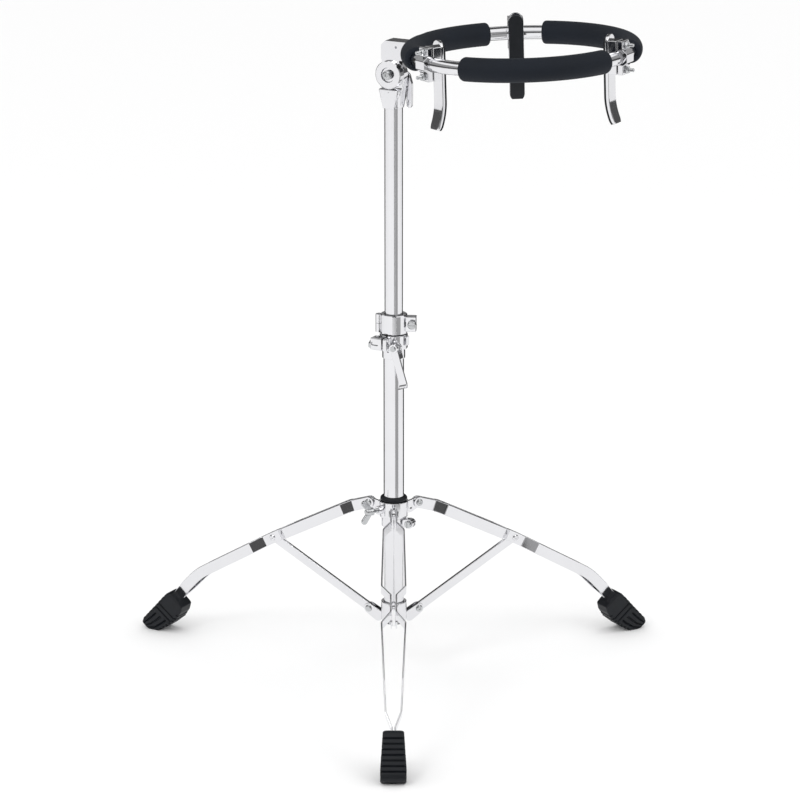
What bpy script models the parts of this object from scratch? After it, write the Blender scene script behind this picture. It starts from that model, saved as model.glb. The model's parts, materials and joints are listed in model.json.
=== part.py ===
"""Hand-drum ring stand: folding tripod, telescopic column, tilter and a ring with three padded clamp arms.

Metres, +Z up. The origin is on the floor, in the middle of the stand's footprint. The column stands on
the +Y side of it, because the front leg points towards -Y and the other two legs spread to the sides.
"""
import math

import bmesh
import bpy
from mathutils import Matrix, Vector

# ---- driving dimensions -------------------------------------------------------------------------
GAP = 0.0003                # clearance between pieces that touch

LEG_AZIMUTHS = {"front": -90.0, "right": 30.0, "left": 150.0}
COLUMN_SWIVEL = -28.5       # the ring points this many degrees to the front of +X
RING_TILT = 2.1             # the ring's far side stands this many degrees up

LOWER_TUBE_R = 0.0143
LOWER_TUBE_BORE = 0.0131
LOWER_TUBE_BOTTOM = 0.084
LOWER_TUBE_TOP = 0.486
UPPER_TUBE_R = 0.0127
UPPER_TUBE_BORE = 0.0113
UPPER_TUBE_BOTTOM = 0.305
UPPER_TUBE_TOP = 0.846

PIVOT_R = 0.039             # distance of the leg and brace pivots from the column's axis
COLLAR_PIVOT_Z = 0.2527
BRACE_PIVOT_Z = 0.0943
MID_PIVOT = (0.1989, 0.1735)
PIN_R = 0.003
PIN_HOLE_R = 0.0033

STRIP_HEIGHT = 0.016
STRIP_THICKNESS = 0.0024
LINK_THICKNESS = 0.0044     # brace bar and collar ear, both held between the two leg strips
STRIP_PINCH = LINK_THICKNESS / 2 + GAP + STRIP_THICKNESS / 2 + 0.0001
BRACE_HEIGHT = 0.013
STRIP_BULGE = 0.0163
STRIP_KNOTS = (             # distance from the axis, half the spacing of a leg's two strips there
    (0.0640, STRIP_PINCH), (0.0775, 0.0141), (0.1720, STRIP_BULGE), (0.1865, STRIP_PINCH),
    (0.2125, STRIP_PINCH), (0.2285, STRIP_BULGE), (0.3220, 0.0122), (0.3470, 0.0105), (0.3630, 0.0021))

FOOT_WIDTH = 0.035
FOOT_TOP_WIDTH = 0.027
FOOT_REACH = 0.421

RING_CENTRE = 0.1942        # distance of the ring's centre from the column's axis
RING_Z = 0.920
RING_R = 0.1455
ROD_R = 0.0095
ROD_CLEAR_R = ROD_R + GAP
FOAM_R = 0.016
FOAM_SLEEVES = {            # direction of each sleeve's middle, and the angle it covers
    "bracket": (180.0, 90.0), "front": (305.0, 80.0), "far": (60.0, 90.0)}
HOOK_AZIMUTHS = {"rear": 120.0, "front": 240.0, "far": 0.0}

TILT_Z = 0.8715
DISC_R = 0.0195

HOOK_WIDTH = 0.021
HOOK_BAR = 0.005
HOOK_PAD = 0.0025
HOOK_BAR_OUTER_R = 0.133    # outer face of the clamp arm's bar, from the ring's centre
HOOK_TOP = 0.030            # the arm's top end, above the rod's centre
HOOK_BOTTOM = -0.088
CLAMP_BOLT_Z = 0.0165

FRONT_REACH = FOOT_REACH
REAR_REACH = FOOT_REACH * math.sin(math.radians(30)) + FOOT_WIDTH / 2 * math.cos(math.radians(30))
COLUMN_Y = (FRONT_REACH - REAR_REACH) / 2

# colour, roughness, metallic
FINISHES = {
    "chrome": ((0.80, 0.80, 0.82), 0.12, 1.0),
    "steel": ((0.56, 0.57, 0.58), 0.30, 1.0),
    "foam": ((0.020, 0.025, 0.030), 0.80, 0.0),
    "rubber": ((0.018, 0.020, 0.023), 0.60, 0.0),
    "nylon": ((0.030, 0.030, 0.032), 0.45, 0.0),
}


# ---- scene and objects --------------------------------------------------------------------------
def clear_scene():
    """Remove every object that the start-up file holds."""
    for obj in list(bpy.data.objects):
        bpy.data.objects.remove(obj, do_unlink=True)


def new_collection(name):
    """Add a collection to the scene."""
    collection = bpy.data.collections.new(name)
    bpy.context.scene.collection.children.link(collection)
    return collection


def new_material(name):
    """Make a plain Principled material from the table of finishes."""
    colour, roughness, metallic = FINISHES[name]
    material = bpy.data.materials.new(name)
    material.use_nodes = True
    shader = material.node_tree.nodes["Principled BSDF"]
    shader.inputs["Base Color"].default_value = (*colour, 1.0)
    shader.inputs["Roughness"].default_value = roughness
    shader.inputs["Metallic"].default_value = metallic
    material.diffuse_color = (*colour, 1.0)
    return material


clear_scene()
PARTS = new_collection("hand_drum_ring_stand")
CUTTERS = new_collection("cutters")
MATERIALS = {name: new_material(name) for name in FINISHES}


def empty(name, parent=None, location=(0, 0, 0), turn_z=0.0, turn_y=0.0):
    """Add an empty that carries the pieces of one frame or one joint."""
    obj = bpy.data.objects.new(name, None)
    obj.empty_display_size = 0.02
    obj.parent = parent
    obj.location = location
    obj.rotation_euler = (0, math.radians(turn_y), math.radians(turn_z))
    PARTS.objects.link(obj)
    return obj


def mesh_object(name, mesh, parent, finish=None):
    """Wrap a mesh in an object: a part with a finish, or a hidden guide for a Boolean without one."""
    obj = bpy.data.objects.new(name, mesh)
    obj.parent = parent
    if finish:
        mesh.materials.append(MATERIALS[finish])
        mesh.shade_smooth()
        mesh.set_sharp_from_angle(angle=math.radians(35))
        PARTS.objects.link(obj)
    else:
        obj.hide_render = True
        obj.display_type = "WIRE"
        CUTTERS.objects.link(obj)
    return obj


def finish_mesh(name, bm):
    """Turn a bmesh into a mesh with its faces pointing out."""
    bmesh.ops.recalc_face_normals(bm, faces=bm.faces)
    mesh = bpy.data.meshes.new(name)
    bm.to_mesh(mesh)
    bm.free()
    return mesh


# ---- primitive shapes ---------------------------------------------------------------------------
def along(start, end):
    """Give the matrix that puts a shape's own Z axis on the line from start to end, at its middle."""
    start, end = Vector(start), Vector(end)
    turn = Vector((0, 0, 1)).rotation_difference(end - start).to_matrix().to_4x4()
    return Matrix.Translation((start + end) / 2) @ turn


def box(name, low, high, parent, finish=None, bevel=0.0):
    """Make a box from its lowest to its highest corner."""
    low, high = Vector(low), Vector(high)
    bm = bmesh.new()
    size = Matrix.Diagonal((*(high - low), 1))
    bmesh.ops.create_cube(bm, size=1.0, matrix=Matrix.Translation((low + high) / 2) @ size)
    if bevel:
        bmesh.ops.bevel(bm, geom=bm.edges[:], offset=bevel, segments=2, profile=0.5, affect="EDGES")
    return mesh_object(name, finish_mesh(name, bm), parent, finish)


def cylinder(name, radius, start, end, parent, finish=None, segments=14, end_radius=None):
    """Make a cylinder, or a cone where end_radius differs, between two points."""
    bm = bmesh.new()
    bmesh.ops.create_cone(
        bm, cap_ends=True, segments=segments, radius1=radius,
        radius2=radius if end_radius is None else end_radius,
        depth=(Vector(end) - Vector(start)).length, matrix=along(start, end))
    return mesh_object(name, finish_mesh(name, bm), parent, finish)


def turned(name, profile, parent, finish=None, steps=20, matrix=None):
    """Turn a closed profile of (radius, height) points about Z with a Screw modifier."""
    bm = bmesh.new()
    points = [bm.verts.new((radius, 0, height)) for radius, height in profile]
    for first, second in zip(points, points[1:] + points[:1]):
        if abs(first.co.x) > 1e-6 or abs(second.co.x) > 1e-6:
            bm.edges.new((first, second))
    outline = mesh_object(name + "_outline", finish_mesh(name + "_outline", bm), None)
    screw = outline.modifiers.new("turn", "SCREW")
    screw.steps = screw.render_steps = steps
    screw.use_merge_vertices = True
    screw.merge_threshold = 0.00001
    evaluated = outline.evaluated_get(bpy.context.evaluated_depsgraph_get())
    turned_mesh = bpy.data.meshes.new_from_object(evaluated)
    bpy.data.objects.remove(outline, do_unlink=True)
    bm = bmesh.new()
    bm.from_mesh(turned_mesh)
    bpy.data.meshes.remove(turned_mesh)
    bmesh.ops.remove_doubles(bm, verts=bm.verts[:], dist=1e-6)
    if matrix:
        bmesh.ops.transform(bm, matrix=matrix, verts=bm.verts[:])
    return mesh_object(name, finish_mesh(name, bm), parent, finish)


def plate(name, outline, thickness, parent, finish=None, centre=0.0, bevel=0.0):
    """Make a flat plate in the XZ plane from its outline, centred on the given Y."""
    curve = bpy.data.curves.new(name, "CURVE")
    curve.dimensions = "2D"
    curve.fill_mode = "BOTH"
    curve.extrude = thickness / 2
    spline = curve.splines.new("POLY")
    spline.points.add(len(outline) - 1)
    for point, (x, z) in zip(spline.points, outline):
        point.co = (x, z, 0, 1)
    spline.use_cyclic_u = True
    outline_object = bpy.data.objects.new(name + "_outline", curve)
    CUTTERS.objects.link(outline_object)
    evaluated = outline_object.evaluated_get(bpy.context.evaluated_depsgraph_get())
    bm = bmesh.new()
    bm.from_mesh(bpy.data.meshes.new_from_object(evaluated))
    bpy.data.objects.remove(outline_object, do_unlink=True)
    bmesh.ops.remove_doubles(bm, verts=bm.verts[:], dist=1e-6)
    upright = Matrix.Translation((0, centre, 0)) @ Matrix.Rotation(math.radians(90), 4, "X")
    bmesh.ops.transform(bm, matrix=upright, verts=bm.verts[:])
    obj = mesh_object(name, finish_mesh(name, bm), parent, finish)
    if bevel:
        rounding = obj.modifiers.new("edges", "BEVEL")
        rounding.width = bevel
        rounding.segments = 2
        rounding.limit_method = "ANGLE"
        rounding.angle_limit = math.radians(60)
    return obj


def capsule(start, end, start_r, end_r, steps=4):
    """Give the outline of a bar with round ends about two points of the XZ plane."""
    angle = math.atan2(end[1] - start[1], end[0] - start[0])
    outline = []
    for centre, radius, first in ((end, end_r, -math.pi / 2), (start, start_r, math.pi / 2)):
        for step in range(steps + 1):
            turn = angle + first + math.pi * step / steps
            outline.append((centre[0] + radius * math.cos(turn), centre[1] + radius * math.sin(turn)))
    return outline


def boolean(target, tool, operation="DIFFERENCE"):
    """Cut a tool out of the target, or join it on."""
    modifier = target.modifiers.new(operation.lower(), "BOOLEAN")
    modifier.operation = operation
    modifier.solver = "EXACT"
    modifier.object = tool


# ---- column -------------------------------------------------------------------------------------
def build_tube(name, outer, inner, bottom, top, parent):
    """Make a round tube with softened ends."""
    lip = 0.0004
    profile = [
        (outer - lip, top), (outer, top - lip), (outer, bottom + lip), (outer - lip, bottom),
        (inner, bottom), (inner, top)]
    return turned(name, profile, parent, "chrome", steps=28)


def build_column(root):
    """Make the lower tube, its end plug and the bracket that holds the braces."""
    build_tube("base_tube", LOWER_TUBE_R, LOWER_TUBE_BORE, LOWER_TUBE_BOTTOM, LOWER_TUBE_TOP, root)
    plug_r = LOWER_TUBE_BORE - GAP
    seat = LOWER_TUBE_BOTTOM - GAP
    turned("tube_plug", [
        (0, seat + 0.012), (plug_r - 0.001, seat + 0.012), (plug_r, seat + 0.011), (plug_r, seat),
        (LOWER_TUBE_R, seat), (LOWER_TUBE_R, seat - 0.003), (LOWER_TUBE_R - 0.001, seat - 0.004),
        (0, seat - 0.004)], root, "nylon")
    build_lower_bracket(root)


def ear_cutters(name, parent, pivot_z, slot_width, slot_start):
    """Make the pin hole, and the slot if it has a width, of one bracket ear."""
    tools = [cylinder(
        name + "_hole", PIN_HOLE_R, (PIVOT_R, -0.02, pivot_z), (PIVOT_R, 0.02, pivot_z), parent)]
    if slot_width:
        half = slot_width / 2
        tools.append(box(
            name + "_slot", (slot_start, -half, pivot_z - 0.04), (0.07, half, pivot_z + 0.04), parent))
    return tools


def build_lower_bracket(root):
    """Make the fixed bracket: a sleeve with three pairs of ears."""
    bottom, top, outer = LOWER_TUBE_BOTTOM, 0.112, 0.0180
    bore = LOWER_TUBE_R + GAP
    bracket = turned("lower_bracket", [
        (0, top), (outer - 0.001, top), (outer, top - 0.001), (outer, bottom + 0.001),
        (outer - 0.001, bottom), (0, bottom)], root, "chrome")
    ear_thickness = LINK_THICKNESS + 2 * GAP + 0.0044
    for name, azimuth in LEG_AZIMUTHS.items():
        frame = empty(name + "_bracket_frame", root, turn_z=azimuth)
        ear = plate(
            name + "_bracket_ear", capsule((0.024, 0.0865), (PIVOT_R, BRACE_PIVOT_Z), 0.0085, 0.0075),
            ear_thickness, frame)
        boolean(bracket, ear, "UNION")
        for tool in ear_cutters(
                name + "_bracket", frame, BRACE_PIVOT_Z, LINK_THICKNESS + 2 * GAP, outer + 0.0012):
            boolean(bracket, tool)
    boolean(bracket, cylinder("bracket_bore", bore, (0, 0, 0.05), (0, 0, 0.15), root, segments=24))
    screw = cylinder("bracket_screw_hole", 0.0017, (0, -0.03, 0.106), (0, 0, 0.106), empty(
        "bracket_screw_frame", root, turn_z=-30), segments=12)
    boolean(bracket, screw)


# ---- folding legs -------------------------------------------------------------------------------
def leg_path():
    """Give the side view of a leg strip's centre line, from its top end to inside the foot."""
    top = Vector((PIVOT_R - 0.0076, COLLAR_PIVOT_Z + 0.0024))
    corners = [
        top, Vector((0.0705, 0.2417)), Vector(MID_PIVOT), Vector((0.322, 0.1000)),
        Vector((0.353, 0.0680)), Vector((0.3875, 0.0320))]
    softness = 0.014
    path = [corners[0]]
    for before, corner, after in zip(corners, corners[1:], corners[2:]):
        enter = corner + (before - corner).normalized() * softness
        leave = corner + (after - corner).normalized() * softness
        for step in range(4):
            t = step / 3
            path.append((1 - t) ** 2 * enter + 2 * t * (1 - t) * corner + t ** 2 * leave)
    return path + [corners[-1]]


def strip_spacing(radius):
    """Give half the distance between the centres of a leg's two strips, at a distance from the axis."""
    if radius <= STRIP_KNOTS[0][0]:
        return STRIP_KNOTS[0][1]
    for (r0, y0), (r1, y1) in zip(STRIP_KNOTS, STRIP_KNOTS[1:]):
        if radius <= r1:
            return y0 + (y1 - y0) * (radius - r0) / (r1 - r0)
    return STRIP_KNOTS[-1][1]


def strip_stations():
    """Give the strip's stations: centre, half height and spacing, with the top end rounded."""
    path = leg_path()
    spots = {round(point.x, 6) for point in path}
    spots |= {radius for radius, _ in STRIP_KNOTS}
    spots |= {path[0].x + offset for offset in (0.0005, 0.0022, 0.0048)}
    stations = []
    for x in sorted(spots)[1:]:
        for first, second in zip(path, path[1:]):
            if first.x <= x <= second.x + 1e-7:
                share = (x - first.x) / (second.x - first.x)
                centre = first.lerp(second, share)
                direction = (second - first).normalized()
                break
        half = STRIP_HEIGHT / 2
        inset = min(half, (x - path[0].x) * 1.05)
        height = math.sqrt(half ** 2 - (half - inset) ** 2)
        stations.append((centre, direction, height, strip_spacing(x)))
    return stations


def strip_mesh(name, side):
    """Make one leg strip as a thin ribbon that follows the stations."""
    stations = strip_stations()
    bm = bmesh.new()
    bmesh.ops.create_grid(bm, x_segments=len(stations) - 1, y_segments=1, size=1)
    for vert in bm.verts:
        index = round((vert.co.x + 1) / 2 * (len(stations) - 1))
        centre, direction, height, spacing = stations[index]
        edge = math.copysign(height, vert.co.y)
        vert.co = (centre.x - direction.y * edge, side * spacing, centre.y + direction.x * edge)
    mesh = bpy.data.meshes.new(name)
    bm.to_mesh(mesh)
    bm.free()
    return mesh


def build_strip(name, side, pivot):
    """Make a leg strip with its pivot hole and the head of the rivet at mid leg."""
    strip = mesh_object(name, strip_mesh(name, side), pivot, "chrome")
    strip.location = (-PIVOT_R, 0, -COLLAR_PIVOT_Z)
    solid = strip.modifiers.new("sheet", "SOLIDIFY")
    solid.thickness = STRIP_THICKNESS
    solid.offset = 0
    solid.use_even_offset = True
    x, z = MID_PIVOT
    inner = side * STRIP_PINCH
    outer = side * (STRIP_PINCH + STRIP_THICKNESS / 2 + 0.0018)
    rivet = cylinder(name + "_rivet", 0.0048, (x, inner, z), (x, outer, z), pivot, end_radius=0.0036)
    hole = cylinder(name + "_hole", PIN_HOLE_R, (PIVOT_R, 0, COLLAR_PIVOT_Z),
                    (PIVOT_R, side * 0.02, COLLAR_PIVOT_Z), pivot)
    for tool, operation in ((rivet, "UNION"), (hole, "DIFFERENCE")):
        tool.location = strip.location
        boolean(strip, tool, operation)


def pin_with_heads(name, half_length, head_r, head, parent, finish="steel"):
    """Make a rivet along Y, centred on its parent, with a head at each end."""
    full = half_length + head
    profile = [
        (0, full), (head_r - 0.001, full), (head_r, half_length), (PIN_R, half_length),
        (PIN_R, -half_length), (head_r, -half_length), (head_r - 0.001, -full), (0, -full)]
    turned(name, profile, parent, finish, steps=10, matrix=Matrix.Rotation(math.radians(90), 4, "X"))


def build_foot(name, pivot):
    """Make the rubber shoe: a wedge that the strips' ends go into."""
    outline = [
        (0.3725, 0.0615), (0.3565, 0.0480), (0.3520, 0.0420), (0.3545, 0.0330), (0.3630, 0.0200),
        (0.3780, 0.0080), (0.3920, 0.0000), (0.4110, 0.0000), (FOOT_REACH, 0.0080),
        (0.4180, 0.0160), (0.3990, 0.0370), (0.3860, 0.0520), (0.3790, 0.0590)]
    shoe = plate(name, outline, FOOT_WIDTH, pivot, "rubber")
    for vert in shoe.data.vertices:
        share = max(0.0, vert.co.z - 0.012) / 0.050
        vert.co.y *= 1 + (FOOT_TOP_WIDTH / FOOT_WIDTH - 1) * share
    rounding = shoe.modifiers.new("edges", "BEVEL")
    rounding.width = 0.0025
    rounding.segments = 2
    rounding.limit_method = "ANGLE"
    rounding.angle_limit = math.radians(60)
    shoe.location = (-PIVOT_R, 0, -COLLAR_PIVOT_Z)
    path = leg_path()
    start, end = path[-2], path[-1]
    slope = (end - start).normalized()
    reach = end + slope * 0.001
    angle = math.atan2(slope.y, slope.x)
    half_height, half_width = STRIP_HEIGHT / 2 + GAP, 0.0021 + STRIP_THICKNESS / 2 + GAP
    pocket = box(name + "_pocket", (-0.06, -half_width, -half_height), (0, half_width, half_height), pivot)
    pocket.location = (reach.x - PIVOT_R, 0, reach.y - COLLAR_PIVOT_Z)
    pocket.rotation_euler = (0, -angle, 0)
    boolean(shoe, pocket)


def build_leg(name, azimuth, collar):
    """Make one leg: two strips, a foot and the pin through the collar's ear."""
    frame = empty(name + "_leg_frame", collar, turn_z=azimuth)
    pivot = empty(name + "_leg_hinge", frame, location=(PIVOT_R, 0, COLLAR_PIVOT_Z))
    build_strip(name + "_leg_left_strip", 1, pivot)
    build_strip(name + "_leg_right_strip", -1, pivot)
    build_foot(name + "_foot", pivot)
    pin_with_heads(
        name + "_leg_pin", STRIP_PINCH + STRIP_THICKNESS / 2 + GAP, 0.0050, 0.0018, pivot)


def build_brace(name, azimuth, root):
    """Make one brace and the pin that holds it in the lower bracket."""
    frame = empty(name + "_brace_frame", root, turn_z=azimuth)
    pivot = empty(name + "_brace_hinge", frame, location=(PIVOT_R, 0, BRACE_PIVOT_Z))
    end = (MID_PIVOT[0] - PIVOT_R, MID_PIVOT[1] - BRACE_PIVOT_Z)
    half = BRACE_HEIGHT / 2
    bar = plate(name + "_brace", capsule((0, 0), end, half, half), LINK_THICKNESS, pivot, "chrome")
    boolean(bar, cylinder(name + "_brace_hole", PIN_HOLE_R, (0, -0.01, 0), (0, 0.01, 0), pivot))
    ear_half = LINK_THICKNESS / 2 + GAP + 0.0022
    pin_with_heads(name + "_brace_pin", ear_half + GAP, 0.0050, 0.0018, pivot)


# ---- sliding collar -----------------------------------------------------------------------------
def build_collar(root):
    """Make the collar that slides on the lower tube, with its rubber ring and its two screws."""
    slide = empty("collar_slide_frame", root)
    bore = LOWER_TUBE_R + 0.0004
    hub, skirt = 0.0205, 0.0180
    top, middle, bottom = 0.2615, 0.2385, 0.2245
    collar = turned("leg_collar", [
        (0, top), (hub - 0.001, top), (hub, top - 0.001), (hub, middle), (skirt, middle - 0.0005),
        (skirt, bottom), (0, bottom)], slide, "chrome")
    for name, azimuth in LEG_AZIMUTHS.items():
        frame = empty(name + "_ear_frame", slide, turn_z=azimuth)
        ear = plate(
            name + "_collar_ear", capsule((0.0250, 0.2480), (PIVOT_R, COLLAR_PIVOT_Z), 0.0090, 0.0070),
            LINK_THICKNESS, frame)
        boolean(collar, ear, "UNION")
        boolean(collar, ear_cutters(name + "_collar", frame, COLLAR_PIVOT_Z, 0, 0)[0])
        boolean(collar, cylinder(
            name + "_ear_window", 0.0022, (0.0265, -0.01, 0.2465), (0.0265, 0.01, 0.2465), frame,
            segments=12))
    build_collar_clamp(collar, slide, bottom, middle)
    build_wing_bolt(collar, slide)
    boolean(collar, cylinder("collar_bore", bore, (0, 0, 0.20), (0, 0, 0.29), slide, segments=24))
    ring_r, ring_low, ring_high = 0.0190, top + GAP, top + 0.0065
    turned("collar_ring", [
        (ring_r - 0.0018, ring_high), (ring_r - 0.0005, ring_high - 0.0013), (ring_r, ring_high - 0.0031),
        (ring_r - 0.0005, ring_low + 0.0012), (ring_r - 0.0018, ring_low), (bore, ring_low),
        (bore, ring_high)], slide, "rubber", steps=20)
    return slide


def build_collar_clamp(collar, slide, bottom, middle):
    """Add the skirt's pinch lugs and their bolt, which take up the collar's play."""
    frame = empty("pinch_frame", slide, turn_z=-30)
    centre = (0.0265, (bottom + middle) / 2 - 0.0005)
    lugs = plate("pinch_lugs", capsule((0.016, centre[1]), centre, 0.0062, 0.0068), 0.0110, frame)
    boolean(collar, lugs, "UNION")
    boolean(collar, box("pinch_slot", (0.010, -0.0009, 0.210), (0.040, 0.0009, middle - 0.0004), frame))
    boolean(collar, cylinder(
        "pinch_hole", 0.0028, (centre[0], -0.02, centre[1]), (centre[0], 0.02, centre[1]), frame,
        segments=12))
    axis = empty("pinch_bolt_axis", frame, location=(centre[0], 0, centre[1]))
    turned("collar_pinch_bolt", [
        (0, 0.0078), (0.0022, 0.0078), (0.0025, 0.0075), (0.0025, -0.0058), (0.0050, -0.0058),
        (0.0050, -0.0082), (0.0040, -0.0092), (0, -0.0092)],
        axis, "steel", steps=14, matrix=Matrix.Rotation(math.radians(-90), 4, "X"))


def build_wing_bolt(collar, slide):
    """Add the threaded boss and the wing bolt that locks the collar to the tube."""
    frame = empty("wing_bolt_frame", slide, turn_z=-150)
    height = 0.2500
    boolean(collar, cylinder(
        "wing_boss", 0.0062, (0.016, 0, height), (0.0265, 0, height), frame), "UNION")
    boolean(collar, cylinder(
        "wing_boss_hole", PIN_HOLE_R, (0.008, 0, height), (0.040, 0, height), frame))
    axis = empty("wing_bolt_axis", frame, location=(0, 0, height))
    bolt = cylinder("collar_wing_bolt", PIN_R, (0.0152, 0, 0), (0.044, 0, 0), axis, "steel")
    boolean(bolt, cylinder("wing_hub", 0.0058, (0.034, 0, 0), (0.046, 0, 0), axis, segments=20), "UNION")
    for side in (1, -1):
        wing = plate(
            "wing_lobe_" + ("up" if side > 0 else "down"),
            capsule((0.040, side * 0.003), (0.0475, side * 0.0130), 0.0042, 0.0046), 0.0034, axis)
        boolean(bolt, wing, "UNION")


# ---- height clamp -------------------------------------------------------------------------------
def build_height_clamp(root):
    """Make the split clamp at the lower tube's top, its eye bolt and its cam lever."""
    low, shoulder, seat, top = 0.4700, 0.4845, LOWER_TUBE_TOP + GAP, 0.5045
    sleeve, body = 0.0160, 0.0195
    tube_bore, bush_bore = LOWER_TUBE_R + GAP, 0.0152
    clamp = turned("height_clamp", [
        (body - 0.001, top), (body, top - 0.001), (body, shoulder), (sleeve, shoulder - 0.0015),
        (sleeve, low + 0.0005), (sleeve - 0.0005, low), (0, low), (0, top)], root, "chrome")
    frame = empty("clamp_frame", root, turn_z=-120)
    boolean(clamp, box(
        "clamp_ears", (0.0160, -0.0190, 0.4860), (0.0325, 0.0070, 0.5035), frame, bevel=0.0015), "UNION")
    boolean(clamp, box("clamp_slot", (0.0100, -0.0013, 0.4800), (0.0400, 0.0013, 0.5100), frame))
    boolean(clamp, box("clamp_groove", (0.0240, -0.0200, 0.4943), (0.0400, -0.0060, 0.4957), frame))
    boolean(clamp, cylinder(
        "clamp_bolt_hole", PIN_HOLE_R, (0.0250, -0.03, 0.4915), (0.0250, 0.02, 0.4915), frame))
    boolean(clamp, box("clamp_key", (-0.0225, -0.0040, 0.4900), (-0.0180, 0.0040, 0.5030), empty(
        "clamp_key_frame", root, turn_z=150)), "UNION")
    boolean(clamp, turned("clamp_bore", [
        (0, 0.52), (bush_bore, 0.52), (bush_bore, seat), (tube_bore, seat), (tube_bore, 0.44), (0, 0.44)],
        root))
    build_clamp_bolt(frame)
    turned("clamp_bush", [
        (bush_bore - GAP, top - 0.0005), (bush_bore - GAP, seat + GAP),
        (UPPER_TUBE_R + GAP, seat + GAP), (UPPER_TUBE_R + GAP, top - 0.0005)],
        empty("swivel_axis", root), "nylon", steps=20)


def build_clamp_bolt(frame):
    """Make the clamp's eye bolt, the pin through its eye and the lever that turns on the pin."""
    eye_y, height, reach = 0.0175, 0.4915, 0.0250
    axis = empty("clamp_bolt_axis", frame, location=(reach, 0, height))
    bolt = cylinder("clamp_bolt", PIN_R, (0, -0.0225, 0), (0, 0.0140, 0), axis, "steel")
    boolean(bolt, cylinder(
        "clamp_bolt_head", 0.0058, (0, -0.0235, 0), (0, -0.0193, 0), axis, segments=6), "UNION")
    boolean(bolt, box("clamp_bolt_eye", (-0.0027, 0.0100, -0.0045), (0.0027, 0.0220, 0.0045), axis), "UNION")
    boolean(bolt, cylinder("clamp_eye_hole", 0.0023, (-0.01, eye_y, 0), (0.01, eye_y, 0), axis, segments=12))
    hinge = empty("lever_hinge", frame, location=(reach, eye_y, height))
    pin_profile = [
        (0, 0.0092), (0.0034, 0.0092), (0.0038, 0.0088), (0.0038, 0.0078), (0.0020, 0.0078),
        (0.0020, -0.0066), (0.0036, -0.0066), (0.0036, -0.0078), (0, -0.0078)]
    turned("lever_pin", pin_profile, hinge, "steel", steps=12,
           matrix=Matrix.Rotation(math.radians(90), 4, "Y"))
    build_lever(hinge)


def build_lever(hinge):
    """Make the cam lever: two cheeks about the eye, a blade that hangs down and a turned-out lip."""
    lean = math.radians(-17)
    length, cheek_r = 0.0560, 0.0066
    lever = box("height_lever", (0.0034, -0.0060, -length), (0.0060, 0.0060, -0.0040), hinge, "chrome")
    pieces = [
        box("lever_bridge", (-0.0050, -0.0052, -0.0165), (0.0050, 0.0052, -0.0085), hinge),
        box("lever_back", (-0.0060, -0.0047, -0.0150), (-0.0034, 0.0047, -0.0030), hinge),
        box("lever_lip", (0.0040, -0.0070, -length - 0.0020), (0.0110, 0.0070, -length + 0.0014), hinge)]
    for inner, outer, side in ((0.0031, 0.0074, "front"), (-0.0063, -0.0031, "back")):
        pieces.append(cylinder("lever_cheek_" + side, cheek_r, (inner, 0, 0), (outer, 0, 0), hinge))
    for piece in pieces:
        boolean(lever, piece, "UNION")
    hole = cylinder("lever_hole", 0.0023, (-0.02, 0, 0), (0.02, 0, 0), hinge, segments=12)
    boolean(lever, hole)
    for piece in [lever, hole] + pieces:
        piece.rotation_euler = (-lean, 0, 0)


# ---- memory lock --------------------------------------------------------------------------------
def build_memory_lock(root):
    """Make the two-part stop ring that rests on the height clamp, with its hinge pin and its screw."""
    low, high = 0.5055, 0.5330
    frame = empty("memory_lock_frame", root, turn_z=-6)
    outer, bore = 0.0190, UPPER_TUBE_R + 0.0004
    screw_x, middle = 0.0262, (low + high) / 2
    for name, side in (("memory_lock_body", 1), ("memory_lock_jaw", -1)):
        half = turned(name, [
            (0, high), (outer - 0.001, high), (outer, high - 0.001), (outer, low + 0.001),
            (outer - 0.001, low), (0, low)], frame, "chrome")
        ear = box(
            name + "_ear", (0.0155, side * 0.0035 - 0.0027, low + 0.0030),
            (0.0315, side * 0.0035 + 0.0027, high - 0.0030), frame, bevel=0.0008)
        boolean(half, ear, "UNION")
        if side > 0:
            knuckle_low, knuckle_high = low + 0.001, middle - GAP
            clear_low, clear_high = middle - GAP, high + 0.01
            removed_low, removed_high = -0.05, 0.0
        else:
            knuckle_low, knuckle_high = middle + GAP, high - 0.001
            clear_low, clear_high = low - 0.01, middle + GAP
            removed_low, removed_high = 0.0, 0.05
        knuckle = cylinder(
            name + "_knuckle", 0.0048, (-0.0205, 0, knuckle_low), (-0.0205, 0, knuckle_high), frame)
        boolean(half, box(
            name + "_half", (-0.05, removed_low, low - 0.01), (0.05, removed_high, high + 0.01), frame))
        boolean(half, cylinder(
            name + "_knuckle_clear", 0.0053, (-0.0205, 0, clear_low), (-0.0205, 0, clear_high), frame))
        boolean(half, knuckle, "UNION")
        boolean(half, cylinder(
            name + "_pin_hole", 0.0022, (-0.0205, 0, low - 0.01), (-0.0205, 0, high + 0.01), frame,
            segments=12))
        boolean(half, cylinder(
            name + "_screw_hole", 0.0028, (screw_x, -0.03, middle), (screw_x, 0.03, middle), frame,
            segments=12))
        boolean(half, cylinder(
            name + "_bore", bore, (0, 0, low - 0.01), (0, 0, high + 0.01), frame, segments=24))
        boolean(half, box(
            name + "_split", (-0.0155, -0.0008, low - 0.01), (0.05, 0.0008, high + 0.01), frame))
    cylinder("memory_lock_pin", 0.0019, (-0.0205, 0, low), (-0.0205, 0, high), frame, "steel", segments=12)
    axis = empty("memory_screw_axis", frame, location=(screw_x, 0, middle))
    turned("memory_lock_screw", [
        (0, 0.0105), (0.0022, 0.0105), (0.0025, 0.0102), (0.0025, -0.0066), (0.0060, -0.0066),
        (0.0062, -0.0072), (0.0062, -0.0108), (0.0052, -0.0118), (0, -0.0118)],
        axis, "steel", steps=16, matrix=Matrix.Rotation(math.radians(-90), 4, "X"))


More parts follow.
